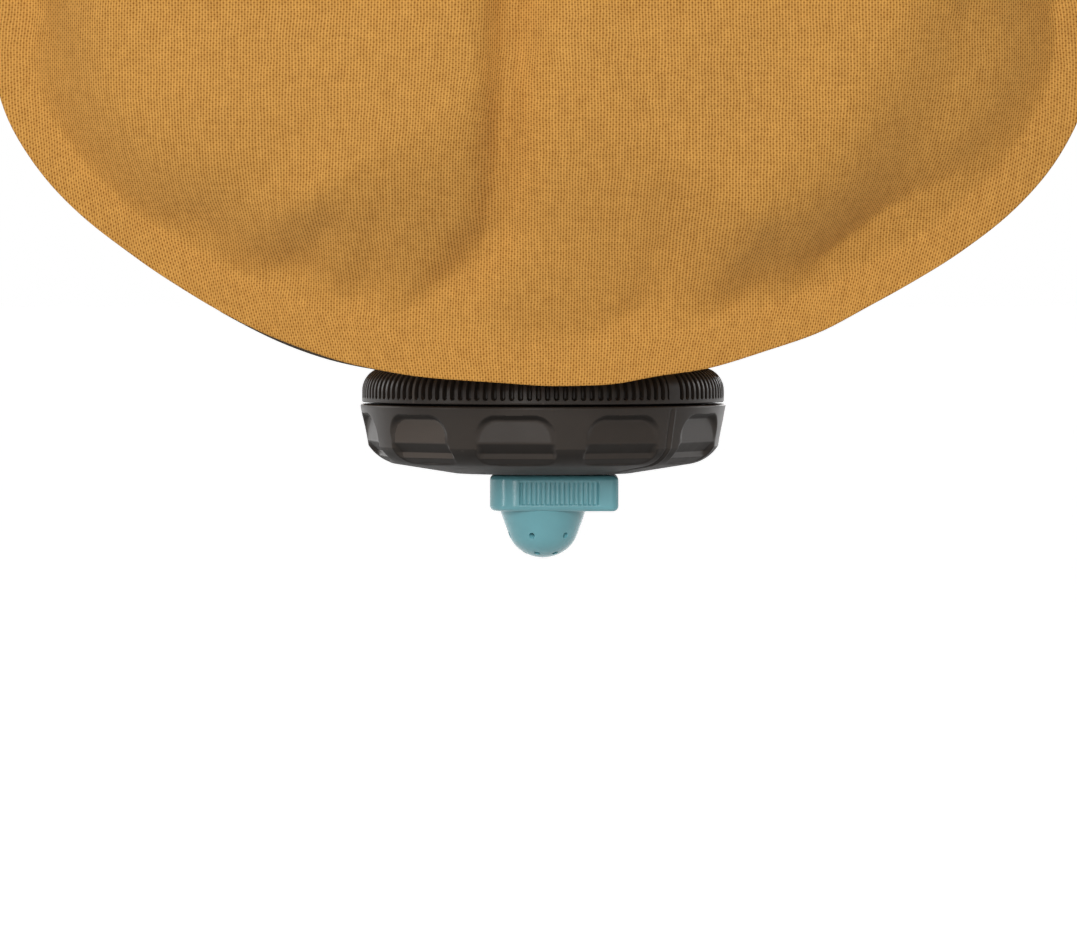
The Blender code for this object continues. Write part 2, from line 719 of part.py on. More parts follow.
def scallop_cutter(axis):
    """The finger recesses round the cap's skirt, whose flat floors follow the skirt inwards."""
    half = SCALLOP_WIDTH / 2
    top = -SCALLOP_TOP
    bottom = top - SCALLOP_HEIGHT
    outline = filleted(
        (
            (-half, bottom, SCALLOP_LOWER_ROUND),
            (half, bottom, SCALLOP_LOWER_ROUND),
            (half, top, SCALLOP_UPPER_ROUND),
            (-half, top, SCALLOP_UPPER_ROUND),
        )
    )
    # The cutters start just outside the radius where neighbours would run into each other.
    inside = half / math.tan(math.pi / SCALLOP_COUNT) + GAP
    shape = prism("scallop", outline, inside, CAP_RADIUS + SCALLOP_DEPTH)
    # The outline is drawn in XY, so each copy is stood up before it is turned to its place.
    upright = Matrix.Rotation(math.pi / 2, 4, "X")
    places = []
    for index in range(SCALLOP_COUNT):
        places.append(turn(SCALLOP_TURN + math.tau * index / SCALLOP_COUNT) @ upright)
    scallops = repeated("cap_scallops", shape, places, axis)
    # A core with one flat side for each recess stops the cutters at the recesses' floors.
    widen = 1 / math.cos(math.pi / SCALLOP_COUNT)
    floor = [(radius * widen, height) for radius, height in skirt_profile(SCALLOP_DEPTH)[:-1]]
    profile = [(0.0, SCALLOP_DEPTH), (floor[0][0], SCALLOP_DEPTH)] + floor
    profile += [(floor[-1][0], -CAP_DEPTH), (0.0, -CAP_DEPTH)]
    core = turned("cap_scallop_core", profile, parent=axis, steps=SCALLOP_COUNT)
    core.rotation_euler.z = SCALLOP_TURN - math.pi / 2 + math.pi / SCALLOP_COUNT
    return cut(scallops, core)


def window_cutter(name, middle, reach, axis):
    """A square-cornered cutter that passes through both side walls along X."""
    half = WINDOW_WIDTH / 2
    outline = ((-reach, -half), (reach, -half), (reach, half), (-reach, half))
    return prism(name, outline, middle - WINDOW_HEIGHT / 2, middle + WINDOW_HEIGHT / 2, parent=axis)


def cap_shell(plastic, axis):
    cap = turned("cap_shell", cap_profile(), plastic, axis)
    wall = CAP_WALL_RADIUS + NECK_WALL / 4
    crest = NECK_RADIUS + THREAD_GAP
    # Each lug rides just above the neck's rib, part of the way up it.
    lug_low = THREAD_LOW + THREAD_BASE + GAP + THREAD_LEAD * LUG_ANGLE / math.tau
    lugs = helical_ribs("cap_lugs", wall, crest, lug_low, LUG_ANGLE, axis)
    lugs.rotation_euler.z = LUG_ANGLE
    join(cap, lugs)
    cut(cap, scallop_cutter(axis))
    socket_radius = SOCKET_BORE + SOCKET_WALL
    return cut(cap, window_cutter("socket_windows", WINDOW_MIDDLE, socket_radius + GAP, axis))


def groove_profile(middle, height):
    """The four points of a groove round the stem, from its top edge down."""
    high, low = middle + height / 2, middle - height / 2
    return [(STEM_RADIUS, high), (GROOVE_RADIUS, high), (GROOVE_RADIUS, low), (STEM_RADIUS, low)]


def oring_heights():
    """The heights of the upper and the lower O-ring, halfway from a window to the socket's end."""
    sill = CAP_FLOOR + WINDOW_SILL
    upper = (sill + WINDOW_HEIGHT + SOCKET_TOP) / 2
    lower = (sill + CAP_FLOOR) / 2 - ORING_RADIUS
    return upper, lower


def dome_profile():
    """The spray head below the bar, from its upper edge down to the axis."""
    drop = DOME_DEPTH - DOME_SHOULDER
    radius = (DOME_SHOULDER_RADIUS**2 + drop**2) / (2 * drop)
    widest = math.asin(DOME_SHOULDER_RADIUS / radius)
    centre = BAR_BOTTOM - DOME_DEPTH + radius
    profile = [(DOME_RADIUS, BAR_BOTTOM)]
    for step in range(ROUND_CORNER_STEPS + 1):
        angle = widest * (1 - step / ROUND_CORNER_STEPS)
        profile.append((radius * math.sin(angle), centre - radius * math.cos(angle)))
    return profile


def jet_cutter(axis):
    """Two rings of jets that slope out and down through the dome, and one straight down."""
    length = DOME_DEPTH
    shape = prism("jet", regular(SECTION_SIDES, JET_DIAMETER / 2), 0.0, length)
    places = [Matrix.Translation((0.0, 0.0, BAR_BOTTOM - DOME_DEPTH - length / 2))]
    for (drop, slope), radius in (
        (UPPER_JETS, CHAMBER_RADIUS - JET_DIAMETER),
        (LOWER_JETS, CHAMBER_RADIUS / 2),
    ):
        for index in range(JET_COUNT):
            around = from_front(JET_TURN + math.tau * index / JET_COUNT)
            start = Matrix.Translation((radius, 0.0, BAR_BOTTOM - drop + JET_DIAMETER))
            places.append(around @ start @ Matrix.Rotation(math.pi / 2 + slope, 4, "Y"))
    return repeated("nozzle_jets", shape, places, axis)


def flute_cutter(axis):
    """Shallow upright flutes along the front and the back of the bar."""
    outline = regular(4, FLUTE_DEPTH)
    low = BAR_MIDDLE - FLUTE_LENGTH / 2
    shape = prism("flute", outline, low, low + FLUTE_LENGTH)
    places = []
    for face in (-BAR_DEPTH / 2, BAR_DEPTH / 2):
        for index in range(FLUTE_COUNT):
            across = FLUTE_MIDDLE + FLUTE_PITCH * (index - (FLUTE_COUNT - 1) / 2)
            places.append(Matrix.Translation((across, face, 0.0)))
    return repeated("nozzle_flutes", shape, places, axis)


def spray_nozzle(plastic, axis):
    """The lever bar, the spray head under it and the hollow stem that turns in the cap's socket."""
    half = BAR_DEPTH / 2
    outline = filleted(
        (
            (-BAR_SHORT_END, -half, BAR_SHORT_ROUND),
            (BAR_LONG_END, -half, BAR_LONG_ROUND),
            (BAR_LONG_END, half, BAR_LONG_ROUND),
            (-BAR_SHORT_END, half, BAR_SHORT_ROUND),
        )
    )
    nozzle = prism("spray_nozzle", outline, BAR_BOTTOM, BAR_TOP, plastic, axis)
    edges = nozzle.modifiers.new("edges", "BEVEL")
    edges.width = BAR_EDGE
    edges.segments = 2
    edges.limit_method = "ANGLE"
    edges.angle_limit = math.radians(60)

    upper, lower = oring_heights()
    groove = 2 * (ORING_RADIUS + SEAL_GAP)
    clip_middle = SOCKET_TOP + GAP + CLIP / 2
    stem_top = SOCKET_TOP + STEM_TOP
    profile = [(0.0, stem_top), (STEM_RADIUS, stem_top)]
    profile += groove_profile(clip_middle, CLIP + 2 * SEAL_GAP)
    profile += groove_profile(upper, groove)
    profile += groove_profile(lower, groove)
    profile += [(STEM_RADIUS, BAR_MIDDLE), (DOME_RADIUS, BAR_MIDDLE)]
    profile += dome_profile()
    join(nozzle, turned("nozzle_core", profile, parent=axis, steps=SMALL_STEPS))

    bore_top = SOCKET_TOP - STEM_ROOF
    chamber_top = BAR_BOTTOM + CHAMBER_RADIUS - STEM_BORE
    chamber_low = BAR_BOTTOM - DOME_DEPTH + CHAMBER_FLOOR
    taper = (DOME_DEPTH - DOME_SHOULDER) / 2
    waterway = (
        (0.0, bore_top),
        (STEM_BORE, bore_top),
        (STEM_BORE, chamber_top),
        (CHAMBER_RADIUS, BAR_BOTTOM),
        (CHAMBER_RADIUS, chamber_low + taper),
        (CHAMBER_RADIUS / 2, chamber_low),
        (0.0, chamber_low),
    )
    cut(nozzle, turned("nozzle_waterway", waterway, parent=axis, steps=SMALL_STEPS))
    cut(nozzle, window_cutter("stem_windows", WINDOW_MIDDLE, STEM_RADIUS + GAP, axis))
    cut(nozzle, jet_cutter(axis))
    return cut(nozzle, flute_cutter(axis))


def stem_oring(name, height, rubber, axis):
    middle = GROOVE_RADIUS + SEAL_GAP + ORING_RADIUS
    section = [(middle + x, y) for x, y in regular(SECTION_SIDES, ORING_RADIUS)]
    ring = turned(name, section, rubber, axis, SMALL_STEPS)
    ring.location.z = height
    return ring


def stem_clip(steel, axis):
    """The open spring clip that holds the stem in its socket."""
    inner = GROOVE_RADIUS + SEAL_GAP
    low = SOCKET_TOP + GAP
    profile = ((inner, low), (inner, low + CLIP), (CLIP_RADIUS, low + CLIP), (CLIP_RADIUS, low))
    clip = turned("stem_clip", profile, steel, axis, SMALL_STEPS)
    half = CLIP_MOUTH / 2
    outline = ((-half, 0.0), (half, 0.0), (half, 2 * CLIP_RADIUS), (-half, 2 * CLIP_RADIUS))
    mouth = prism("stem_clip_mouth", outline, low - CLIP, low + 2 * CLIP, parent=axis)
    return cut(clip, mouth)


def settle_shading():
    """Applies each cut piece's modifiers, so that its new edges can be marked sharp as well."""
    graph = bpy.context.evaluated_depsgraph_get()
    pieces = [thing for thing in bpy.data.objects if thing.type == "MESH" and not thing.hide_render]
    settled = [(piece, bpy.data.meshes.new_from_object(piece.evaluated_get(graph))) for piece in pieces]
    for piece, mesh in settled:
        piece.modifiers.clear()
        piece.data = mesh
        mesh.shade_smooth()
        mesh.set_sharp_from_angle(angle=math.radians(35))


def build_bag(cloth, gusset_cloth):
    panel("front_panel", -1, cloth)
    panel("back_panel", 1, cloth)
    mouth_gusset(gusset_cloth)
    side = side_stations()
    side[0] = moved_along(side[0], GAP)
    gusset("right_gusset", side, gusset_cloth)
    gusset("left_gusset", mirrored(side), gusset_cloth)
    top = top_stations()
    top[0] = moved_along(top[0], GAP)
    gusset("base_gusset", top + mirrored(top)[1:], gusset_cloth)


def build_closure(charcoal, teal, rubber, steel):
    """The pieces on the closure's axis, each under the empty of what it moves with."""
    mouth_axis = empty("mouth_axis", (0.0, 0.0, PARTING))
    cap_axis = empty("cap_axis", (0.0, 0.0, PARTING))
    valve_axis = empty("valve_axis", (0.0, 0.0, PARTING))
    mouth_flange(charcoal, mouth_axis)
    flange_gasket(rubber, mouth_axis)
    knurled_ring(charcoal, mouth_axis)
    cap_gasket(rubber, cap_axis)
    cap_shell(charcoal, cap_axis)
    spray_nozzle(teal, valve_axis)
    upper, lower = oring_heights()
    stem_oring("upper_oring", upper, rubber, valve_axis)
    stem_oring("lower_oring", lower, rubber, valve_axis)
    stem_clip(steel, valve_axis)


def main():
    clear_scene()
    cloth = material("mustard_cloth", (0.50, 0.24, 0.045), 0.75)
    gusset_cloth = material("gusset_cloth", (0.46, 0.21, 0.040), 0.8)
    webbing = material("charcoal_webbing", (0.045, 0.045, 0.045), 0.85)
    patch_finish = material("patch_cloth", (0.08, 0.075, 0.07), 0.8)
    charcoal = material("charcoal_plastic", (0.045, 0.040, 0.036), 0.42)
    teal = material("teal_plastic", (0.12, 0.33, 0.37), 0.38)
    rubber = material("grey_silicone", (0.28, 0.28, 0.28), 0.6)
    grip_rubber = material("grip_rubber", (0.03, 0.03, 0.03), 0.7)
    steel = material("spring_steel", (0.6, 0.6, 0.6), 0.3, 1.0)
    build_bag(cloth, gusset_cloth)
    build_closure(charcoal, teal, rubber, steel)
    handle(webbing, grip_rubber, patch_finish)
    lash_straps(webbing, patch_finish)
    settle_shading()


main()
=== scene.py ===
"""The looks of the hanging water bag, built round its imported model.

Sizes are in metres in the model's own frame: the origin is under the carry handle's grip, +X is to
the right of someone who faces the front panel, +Y goes to the back panel and +Z is up.
"""

import math

import bmesh
import bpy
import numpy as np
from mathutils import Matrix, Vector


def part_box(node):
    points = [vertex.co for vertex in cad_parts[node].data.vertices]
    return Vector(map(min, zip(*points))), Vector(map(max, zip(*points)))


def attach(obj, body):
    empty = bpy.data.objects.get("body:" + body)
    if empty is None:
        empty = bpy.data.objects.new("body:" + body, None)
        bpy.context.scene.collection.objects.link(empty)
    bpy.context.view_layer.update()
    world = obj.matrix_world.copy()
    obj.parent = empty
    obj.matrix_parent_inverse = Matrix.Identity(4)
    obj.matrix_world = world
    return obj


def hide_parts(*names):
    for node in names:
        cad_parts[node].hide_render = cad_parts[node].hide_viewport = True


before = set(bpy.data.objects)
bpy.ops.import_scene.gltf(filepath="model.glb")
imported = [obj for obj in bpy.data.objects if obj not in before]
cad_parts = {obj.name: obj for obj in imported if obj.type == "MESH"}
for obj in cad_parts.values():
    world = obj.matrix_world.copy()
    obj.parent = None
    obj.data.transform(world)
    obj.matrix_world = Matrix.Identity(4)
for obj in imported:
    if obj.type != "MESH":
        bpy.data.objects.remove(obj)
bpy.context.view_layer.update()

MM = 0.001
SQUARE = ((-1, -1), (1, -1), (1, 1), (-1, 1))  # the corners' signs, in order

# Clearances, as the model has them
GAP = 0.0003
SEAL_GAP = 0.00015
THREAD_GAP = 0.0006
RIM_GAP = 0.0005
NOZZLE_GAP = 0.0004

# Places read from the model
panel_low, panel_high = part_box("front_panel")
ring_low, ring_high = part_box("knurled_ring")
cap_low, cap_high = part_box("cap_shell")
nozzle_low, nozzle_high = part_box("spray_nozzle")
FLANGE_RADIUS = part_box("mouth_flange")[1].x
PARTING = ring_low.z - RIM_GAP  # the cap's rim, which the closure's heights are measured from
RING_RADIUS, RING_TOP = ring_high.x, ring_high.z - PARTING
CAP_RADIUS, CAP_DEPTH = cap_high.x, PARTING - cap_low.z
BAR_SHORT_END, BAR_LONG_END = -nozzle_low.x, nozzle_high.x

# The bag's outline and section
CLOTH = 0.0008
SHEET = 0.9 * CLOTH  # of the cloth as shown, clear of what it lies on
SEAM_WIDTH = 0.009
BOTTOM_RISE = 0.0811
BOTTOM_POWER = 1.83
TOP_CORNER = 0.060
HALF_WIDTH, BAG_TOP, BAG_BOTTOM = panel_high.x, panel_high.z, panel_low.z
HALF_DEPTH = CLOTH - panel_high.y
PANEL_BULGE = -panel_low.y - HALF_DEPTH
SPINE_LOW, SPINE_HIGH = BAG_BOTTOM + BOTTOM_RISE, BAG_TOP - BOTTOM_RISE
OUTLINE_COUNTS = (2000, 200, 200, 100)  # points along the bottom, the side, the top corner and the top

# Cloth in the panels
PANEL_STATION = 0.0024
PANEL_RINGS = 60
PANEL_CROWDING = 1.35  # above 1, the rings stand closer beside the seam
PANEL_FULLNESS = 0.80  # power of the dome's section: more is slacker
LOW_FULLNESS = 1.05  # the same at the middle of the bottom
DOME_EASE = 0.0025  # over which the cloth leaves the seam
LOW_DOME_EASE = 0.028
LOW_EASE_REACH = 0.050
STEEP_REACH = 0.019  # of the steep foot that the dome has low on both sides
STEEP_ACROSS = ((-0.133, -0.070, -0.035, 0.040, 0.080, 0.133), (1.0, 1.0, 0.0, 0.0, 0.8, 0.8))  # share of it
STEEP_HEIGHTS = (-0.280, -0.200)  # between which it fades out
SWELL = 0.0004  # of the cloth's slight unevenness
SWELL_START = (0.0, 0.012)  # the distances in from the seam over which it sets in
FOLD_START = (-0.001, 0.010)  # the same for the folds
FOLD_LIMIT = 0.7  # share of the dome's height that folds may take
FLUTTER_END = (0.0, 0.010)  # the distances in from the seam over which its flutter fades out
SEAM_SHARES = (0.0, 0.06, 0.3, 0.55, 0.8, 0.96)
SEAM_FLUTTER = 0.0005  # of the seam, forwards and back
EDGE_WAVE = 0.00012  # of the cut edge, in its own plane
# How far the bottom edge lies outside its even curve, as (x, push) pairs in millimetres
EDGE_PUSHES = (
    (-133, 0.3), (-118, 0.0), (-101, -0.6), (-83, 0.0), (-66, 0.9), (-47, 1.2), (-30, 0.6), (-11, -0.4),
    (6, 0.1), (17, 0.4), (27, 0.1), (41, 0.7), (53, 0.3), (67, 0.4), (82, -0.6), (101, -0.3), (120, 0.5),
    (133, 0.2),
)
PUSH_FADE = (BAG_BOTTOM + 0.060, BAG_BOTTOM + 0.085)  # the heights between which the pushes fade out
# Folds: depths from one end to the other, width on the left and on the right, then the (x, z) points it
# runs through, all in millimetres. A negative depth is a ridge.
FRONT_FOLDS = (
    (
        (0.0, 2.5, 7.5, 5.6, 4.0), 4.8, 7.5, (6, -215), (0, -260), (-5, -290), (-8, -308), (-8.5, -320),
        (-9, -331), (-10, -348), (-12, -361), (-21, -373), (-31, -387),
    ),
    ((-0.8, -1.2), 12.0, 12.0, (12, -285), (9, -321), (8, -355), (6, -378)),
    ((1.0, 1.0), 4.0, 6.0, (29, -356), (29, -366)),
    ((0.8, 2.0), 3.6, 7.0, (28, -368), (25, -379), (15, -390)),
    ((1.4, 2.8), 4.0, 7.0, (55, -366), (49, -377), (43, -387)),
    ((-1.0, -1.0), 8.0, 8.0, (60, -342), (50, -361), (43, -373)),
    ((6.5, 10.0), 12.0, 15.0, (101, -318), (94, -338), (87, -353), (77, -372)),
    ((1.8, 2.4), 6.0, 6.0, (122, -327), (115, -340), (106, -351)),
    ((1.8, 1.0), 5.0, 5.0, (-127, -302), (-122, -311), (-118, -319)),
    ((1.6, 1.4), 14.0, 14.0, (-92, -318), (-88, -336), (-76, -358), (-62, -372)),
    ((2.0, 2.4), 8.0, 8.0, (-58, -343), (-73, -354), (-85, -364)),
    ((2.0, 2.4), 5.0, 5.0, (-52, -363), (-61, -371), (-68, -377)),
    ((1.2, 2.0), 4.0, 6.0, (-41, -362), (-43, -374), (-47, -385)),
    ((-1.0, -0.9), 5.0, 5.0, (-50, -349), (-60, -357)),
)

# Cloth in the gussets
GUSSET_BULGE = 0.004
GUSSET_FLAT = 0.3  # share of the depth that stays flat along the middle
GUSSET_HALF_DEPTH = HALF_DEPTH - CLOTH - GAP
GUSSET_STATION = 0.0026
GUSSET_COLUMNS = 44
GUSSET_CREASE = 0.0006
FLAP_TIPS = (0.0, 0.4, 0.8, 0.96)  # shares across the flap behind the seam
MOUTH_PANEL_LENGTH = 0.156
MOUTH_HOLE_EASE = 0.0010
MOUTH_RINGS = 34
MOUTH_PUCKERS = (22, 13)  # round the mouth, in two sizes
MOUTH_PUCKER_DEPTH = 0.0021
MOUTH_RISE = 0.42  # below 1, the cloth rises quickly beside the ring
DISC_MARGIN = 0.0048  # by which the flat cloth under the flange is smaller than the flange
DISC_RADIUS = FLANGE_RADIUS - DISC_MARGIN
DISC_STEP = 0.003  # from its edge in to the next ring of points
PEEK = (0.0006, -0.058, 0.014)  # by which the flap shows below the front seam, its x and its reach

# Neck, flange and thread, as the model has them
NECK_BORE = 0.0346
NECK_WALL = 0.0024
NECK_DROP = 0.0102
NECK_RADIUS = NECK_BORE + NECK_WALL
THREAD_HEIGHT = 0.0014
THREAD_STARTS = 4
THREAD_LEAD = 0.018
THREAD_BASE = 0.0017
THREAD_CREST = 0.0009
THREAD_ANGLE = math.radians(128)
THREAD_STEP = math.radians(2.5)
THREAD_TAPER = math.radians(5)
THREAD_END = 0.0003
THREAD_LOW = -NECK_DROP + THREAD_BASE / 2 + THREAD_END
LUG_ANGLE = math.radians(44)
CREST_RADIUS = NECK_RADIUS + THREAD_HEIGHT
FLANGE = 0.0025
FLANGE_BEVEL = 0.0045  # under the flange's edge, where the cloth turns up
FLANGE_GASKET = 0.0015
DISC_TOP = RING_TOP + GAP + CLOTH
FLANGE_BOTTOM = DISC_TOP + GAP + FLANGE_GASKET + GAP
SEAL_EDGE = 0.0003

# Knurled ring
RING_BORE = CREST_RADIUS + GAP
RING_SHOULDER = 0.0058
RING_ROUND = 0.0002
RING_COLUMNS_A_SLOT = 14
SLOT_COUNT = 128
SLOT_WIDTH = 0.0013
SLOT_DEPTH = 0.0014
SLOT_START = 0.0010
LAND_ANGLE = math.radians(45.5)  # of the plain land in the ring and the line down the cap
LINE_HEIGHT, LINE_WIDTH = 0.00022, 0.00035
LINE_GROOVE = (0.00030, 0.0009, 0.00045)  # depth, distance from the line and width of the groove beside it

# Cap
CAP_GASKET = 0.0012
CAP_COLUMNS = 1000
CAP_WALL_RADIUS = CREST_RADIUS + THREAD_GAP
CAP_FLOOR = -(NECK_DROP + GAP + CAP_GASKET + GAP)
SKIRT_RADIUS = 0.0436
SKIRT_HEIGHT = 0.0104
CORNER_RADIUS = 0.0101
CORNER_SLOPES = (math.radians(33), math.radians(80.5))
FACE_RADIUS = 0.0221
RIM_ROUND = 0.0005
SCALLOP_COUNT = 10
SCALLOP_TURN = math.radians(-9)
SCALLOP_WIDTH = 0.0200
SCALLOP_HEIGHT = 0.0125
SCALLOP_TOP = 0.0022
SCALLOP_ROUNDS = (0.0052, 0.0034)  # of its upper and its lower corners
SCALLOP_WALLS = (0.0014, 0.0007)  # across the curved wall down to the floor, high up and at its lower edge
SCALLOP_FLOOR = (
    # radius, height and rounding of the corners of the floor's section, from the top down
    (0.0427, 0.0, 0.0),
    (0.0427, -0.0091, 0.0008),
    (0.0401, -0.0115, 0.0005),
    (0.0399, -0.0129, 0.0005),
    (0.0371, -0.0149, 0.0),
)

# Socket, stem and clip
SOCKET_WALL = 0.0027
SOCKET_HEIGHT = 0.014
SOCKET_TOP = CAP_FLOOR + SOCKET_HEIGHT
SOCKET_EDGE = 0.0004
STEM_RADIUS = 0.0060
STEM_BORE = 0.0036
STEM_RISE = 0.0030  # above the socket
STEM_TOP = SOCKET_TOP + STEM_RISE
STEM_EDGE = 0.0006
STEM_ROOF = 0.0045
SOCKET_BORE = STEM_RADIUS + GAP
WINDOW_WIDTH = 0.0050
WINDOW_HEIGHT = 0.0050
WINDOW_SILL = 0.0035
WINDOW_LOW = CAP_FLOOR + WINDOW_SILL
WINDOW_SPARE = 0.002  # by which the windows' cutter reaches past the socket
GROOVE_DEPTH = 0.0013
GROOVE_RADIUS = STEM_RADIUS - GROOVE_DEPTH
ORING_RADIUS = 0.0005
UPPER_ORING = (WINDOW_LOW + WINDOW_HEIGHT + SOCKET_TOP) / 2
LOWER_ORING = (WINDOW_LOW + CAP_FLOOR) / 2 - ORING_RADIUS
CLIP = 0.0008
CLIP_RADIUS = 0.0084
CLIP_MOUTH = 0.0070

# Lever bar and spray head
BAR_DEPTH = 0.0230
BAR_HEIGHT = 0.0089
BAR_SHORT_ROUND = 0.0070
BAR_LONG_ROUND = 0.0020
BAR_EDGE = 0.0013
BAR_TOP = -CAP_DEPTH - NOZZLE_GAP
BAR_BOTTOM = BAR_TOP - BAR_HEIGHT
BAR_MIDDLE = (BAR_TOP + BAR_BOTTOM) / 2
FLUTE_COUNT = 17
FLUTE_STEPS = 12  # points across one flute
FLUTE_PITCH = 0.00117
FLUTE_DEPTH = 0.00034
FLUTE_RIB = 0.17  # share of the pitch that half a rib takes
FLUTE_LENGTH = 0.0062
FLUTE_MIDDLE = 0.0040
DOME_RADIUS = 0.0107
DOME_SHOULDER_RADIUS = 0.0081
DOME_SHOULDER = 0.0072
DOME_DEPTH = 0.0118
CHAMBER_RADIUS = 0.0066
CHAMBER_FLOOR = 0.0022
CHAMBER_LOW = BAR_BOTTOM - DOME_DEPTH + CHAMBER_FLOOR
JET_DIAMETER = 0.0015
JET_COUNT = 6
JET_TURN = math.radians(-79)
JET_RINGS = (
    # depth below the bar, slope below level, and radius at which the cutter starts
    (0.0048, math.radians(40), CHAMBER_RADIUS - JET_DIAMETER),
    (0.0093, math.radians(66), CHAMBER_RADIUS / 2),
)

# Handle, lash straps and patches
STRAP = 0.0016
STRAP_BEND = 0.008
FOOT_LENGTH = 0.030
HANDLE_WIDTH = 0.025
HANDLE_SPAN = 0.104
HANDLE_CREST = 0.074
LASH_WIDTH = 0.020
LASH_LENGTH = 0.150
LASH_CENTRE = 0.178
LASH_STANDOFF = 0.013
PATCH = 0.0010
PATCH_MARGIN = 0.0045
PATCH_CORNER = 0.006
# How far in from the patch's edge, and how high as a share of its thickness: the weld line lies lower
PATCH_LEVELS = ((0, 0), (0, 0.6), (0.0003, 1), (0.0011, 1), (0.0014, 0.65), (0.0022, 0.65), (0.0025, 1))
STITCH = 0.0026
STITCH_SPACE = 0.0006
STITCH_THREAD = 0.00028
STITCH_INSET = 0.0025
GRIP_LENGTH = 0.062
GRIP_HEIGHT = 0.0076
GRIP_WALL = 0.0030
GRIP_EDGE = 0.0022
GRIP_END_ROUND = 0.0012
GRIP_RIB = 0.0007
GRIP_RIB_PITCH = 0.0048

# Camera, floor and light
CAMERA_PLACE = (-0.00112, -2.2, -0.365)
CAMERA_TILT = math.radians(-1.505)
CAMERA_LENS = 295.6
FLOOR_HEIGHT = -0.600
FLOOR_REACH = 30.0
FLOOR_GLOW = 0.90
WORLD_LIGHT = 0.10
LIGHT_AIM = Vector((0.0, 0.0, -0.33))
LIGHTS = (
    # name, direction round from the front, height above level, distance, width, height, watts
    ("key", -2, 17, 2.2, 0.7, 0.7, 22.5),
    ("glint", -14, 4, 2.2, 0.36, 0.8, 7.5),
    ("fill", 18, 5, 2.2, 0.8, 1.0, 2.0),
    ("left_strip", -62, 3, 1.8, 0.18, 1.0, 5.5),
    ("right_strip", 92, 8, 1.8, 0.20, 1.2, 1.0),
    ("left_back", -122, 14, 2.2, 0.7, 1.0, 9.0),
    ("right_back", 124, 14, 2.2, 0.7, 1.0, 8.5),
    ("rear", 172, 20, 2.1, 1.2, 1.2, 22.0),
)


# Paths and points

def smooth(low, high, value):
    """0 below low, 1 above high, and an even slope between that starts and ends level."""
    share = np.clip((value - low) / (high - low), 0.0, 1.0)
    return share * share * (3 - 2 * share)


def ripple(place, seed, count, shortest, longest):
    """Gentle waves along a line, from -1 to 1: a few sines of unlike length."""
    draw = np.random.default_rng(seed)
    total = np.zeros_like(place)
    for length, phase in zip(np.geomspace(shortest, longest, count), draw.uniform(0, math.tau, count)):
        total += np.sin(math.tau * place / length + phase)
    return total / count


def from_front(angle):
    """The angle about Z of the direction this far round from the front, towards +X."""
    return angle - math.pi / 2


def apart(angle, other):
    """The turn from the other angle to this one, between -pi and pi."""
    return (angle - other + math.pi) % math.tau - math.pi


def stacked(*columns):
    """Columns, or single values, side by side as the rows of one array."""
    return np.stack(np.broadcast_arrays(*columns), -1)


def polar(radius, angle, height):
    """Points round the closure's axis."""
    return stacked(radius * np.cos(angle), radius * np.sin(angle), height)


def unit(vectors):
    return vectors / np.linalg.norm(vectors, axis=1)[:, None]


def run_along(path):
    """The distance along a path of points to each of them."""
    return np.concatenate([[0.0], np.cumsum(np.linalg.norm(np.diff(path, axis=0), axis=1))])


def spread(path, spacing, closed=False):
    """Points at even spacing along a path of points."""
    path = np.asarray(path, float)
    if closed:
        path = np.concatenate([path, path[:1]])
    run = run_along(path)
    places = np.linspace(0, run[-1], max(2, round(run[-1] / spacing)) + 1)
    if closed:
        places = places[:-1]
    return stacked(*(np.interp(places, run, column) for column in path.T))


def rounded(corners, steps, closed=True):
    """Points round an outline of (x, y, radius) corners, each one rounded."""
    path = []
    for index, (x, y, radius) in enumerate(corners):
        corner = Vector((x, y, 0.0))
        if radius == 0 or (not closed and index in (0, len(corners) - 1)):
            path.append((x, y))
            continue
        before = (Vector((*corners[index - 1][:2], 0.0)) - corner).normalized()
        after = (Vector((*corners[(index + 1) % len(corners)][:2], 0.0)) - corner).normalized()
        half_angle = before.angle(after) / 2
        centre = corner + (before + after).normalized() * radius / math.sin(half_angle)
        reach = radius / math.tan(half_angle)
        start = (corner + before * reach - centre).normalized()
        end = (corner + after * reach - centre).normalized()
        for step in range(steps + 1):
            point = centre + radius * start.slerp(end, step / steps)
            path.append((point.x, point.y))
    return path


def rounded_box(width, height, radius, steps):
    return rounded([(x * width / 2, y * height / 2, radius) for x, y in SQUARE], steps)


# Meshes. A shape is a pair of points and faces.

def grid_faces(rows, columns, wrap_rows=False, wrap_columns=False, flip=False):
    """The quads of a grid of points that are listed row by row."""
    row = np.arange(rows if wrap_rows else rows - 1)[:, None]
    column = np.arange(columns if wrap_columns else columns - 1)[None, :]
    here, below, beside = row * columns, (row + 1) % rows * columns, (column + 1) % columns
    quads = stacked(here + column, here + beside, below + beside, below + column).reshape(-1, 4)
    return quads[:, ::-1] if flip else quads


def sheet(rows, **wrap):
    """The shape of a sheet given as rows of points."""
    rows = np.asarray(rows, float)
    return rows.reshape(-1, 3), grid_faces(*rows.shape[:2], **wrap)


def tube(rows):
    """The shape of a solid given as rows of points round it, closed at both ends."""
    points, faces = sheet(rows, wrap_columns=True)
    count = len(rows[0])
    return points, faces.tolist() + [list(range(count)), list(range(len(points) - count, len(points)))]


def hoop(rows):
    """The shape of a solid whose rows of points close on themselves both ways."""
    return sheet(rows, wrap_rows=True, wrap_columns=True)


def lathe(profile, steps=192):
    """The shape of a solid turned about the closure's axis from a closed profile."""
    radius, height = np.asarray(profile, float).T
    angles = math.tau * np.arange(steps) / steps
    return hoop(polar(radius, angles[:, None], height + PARTING))


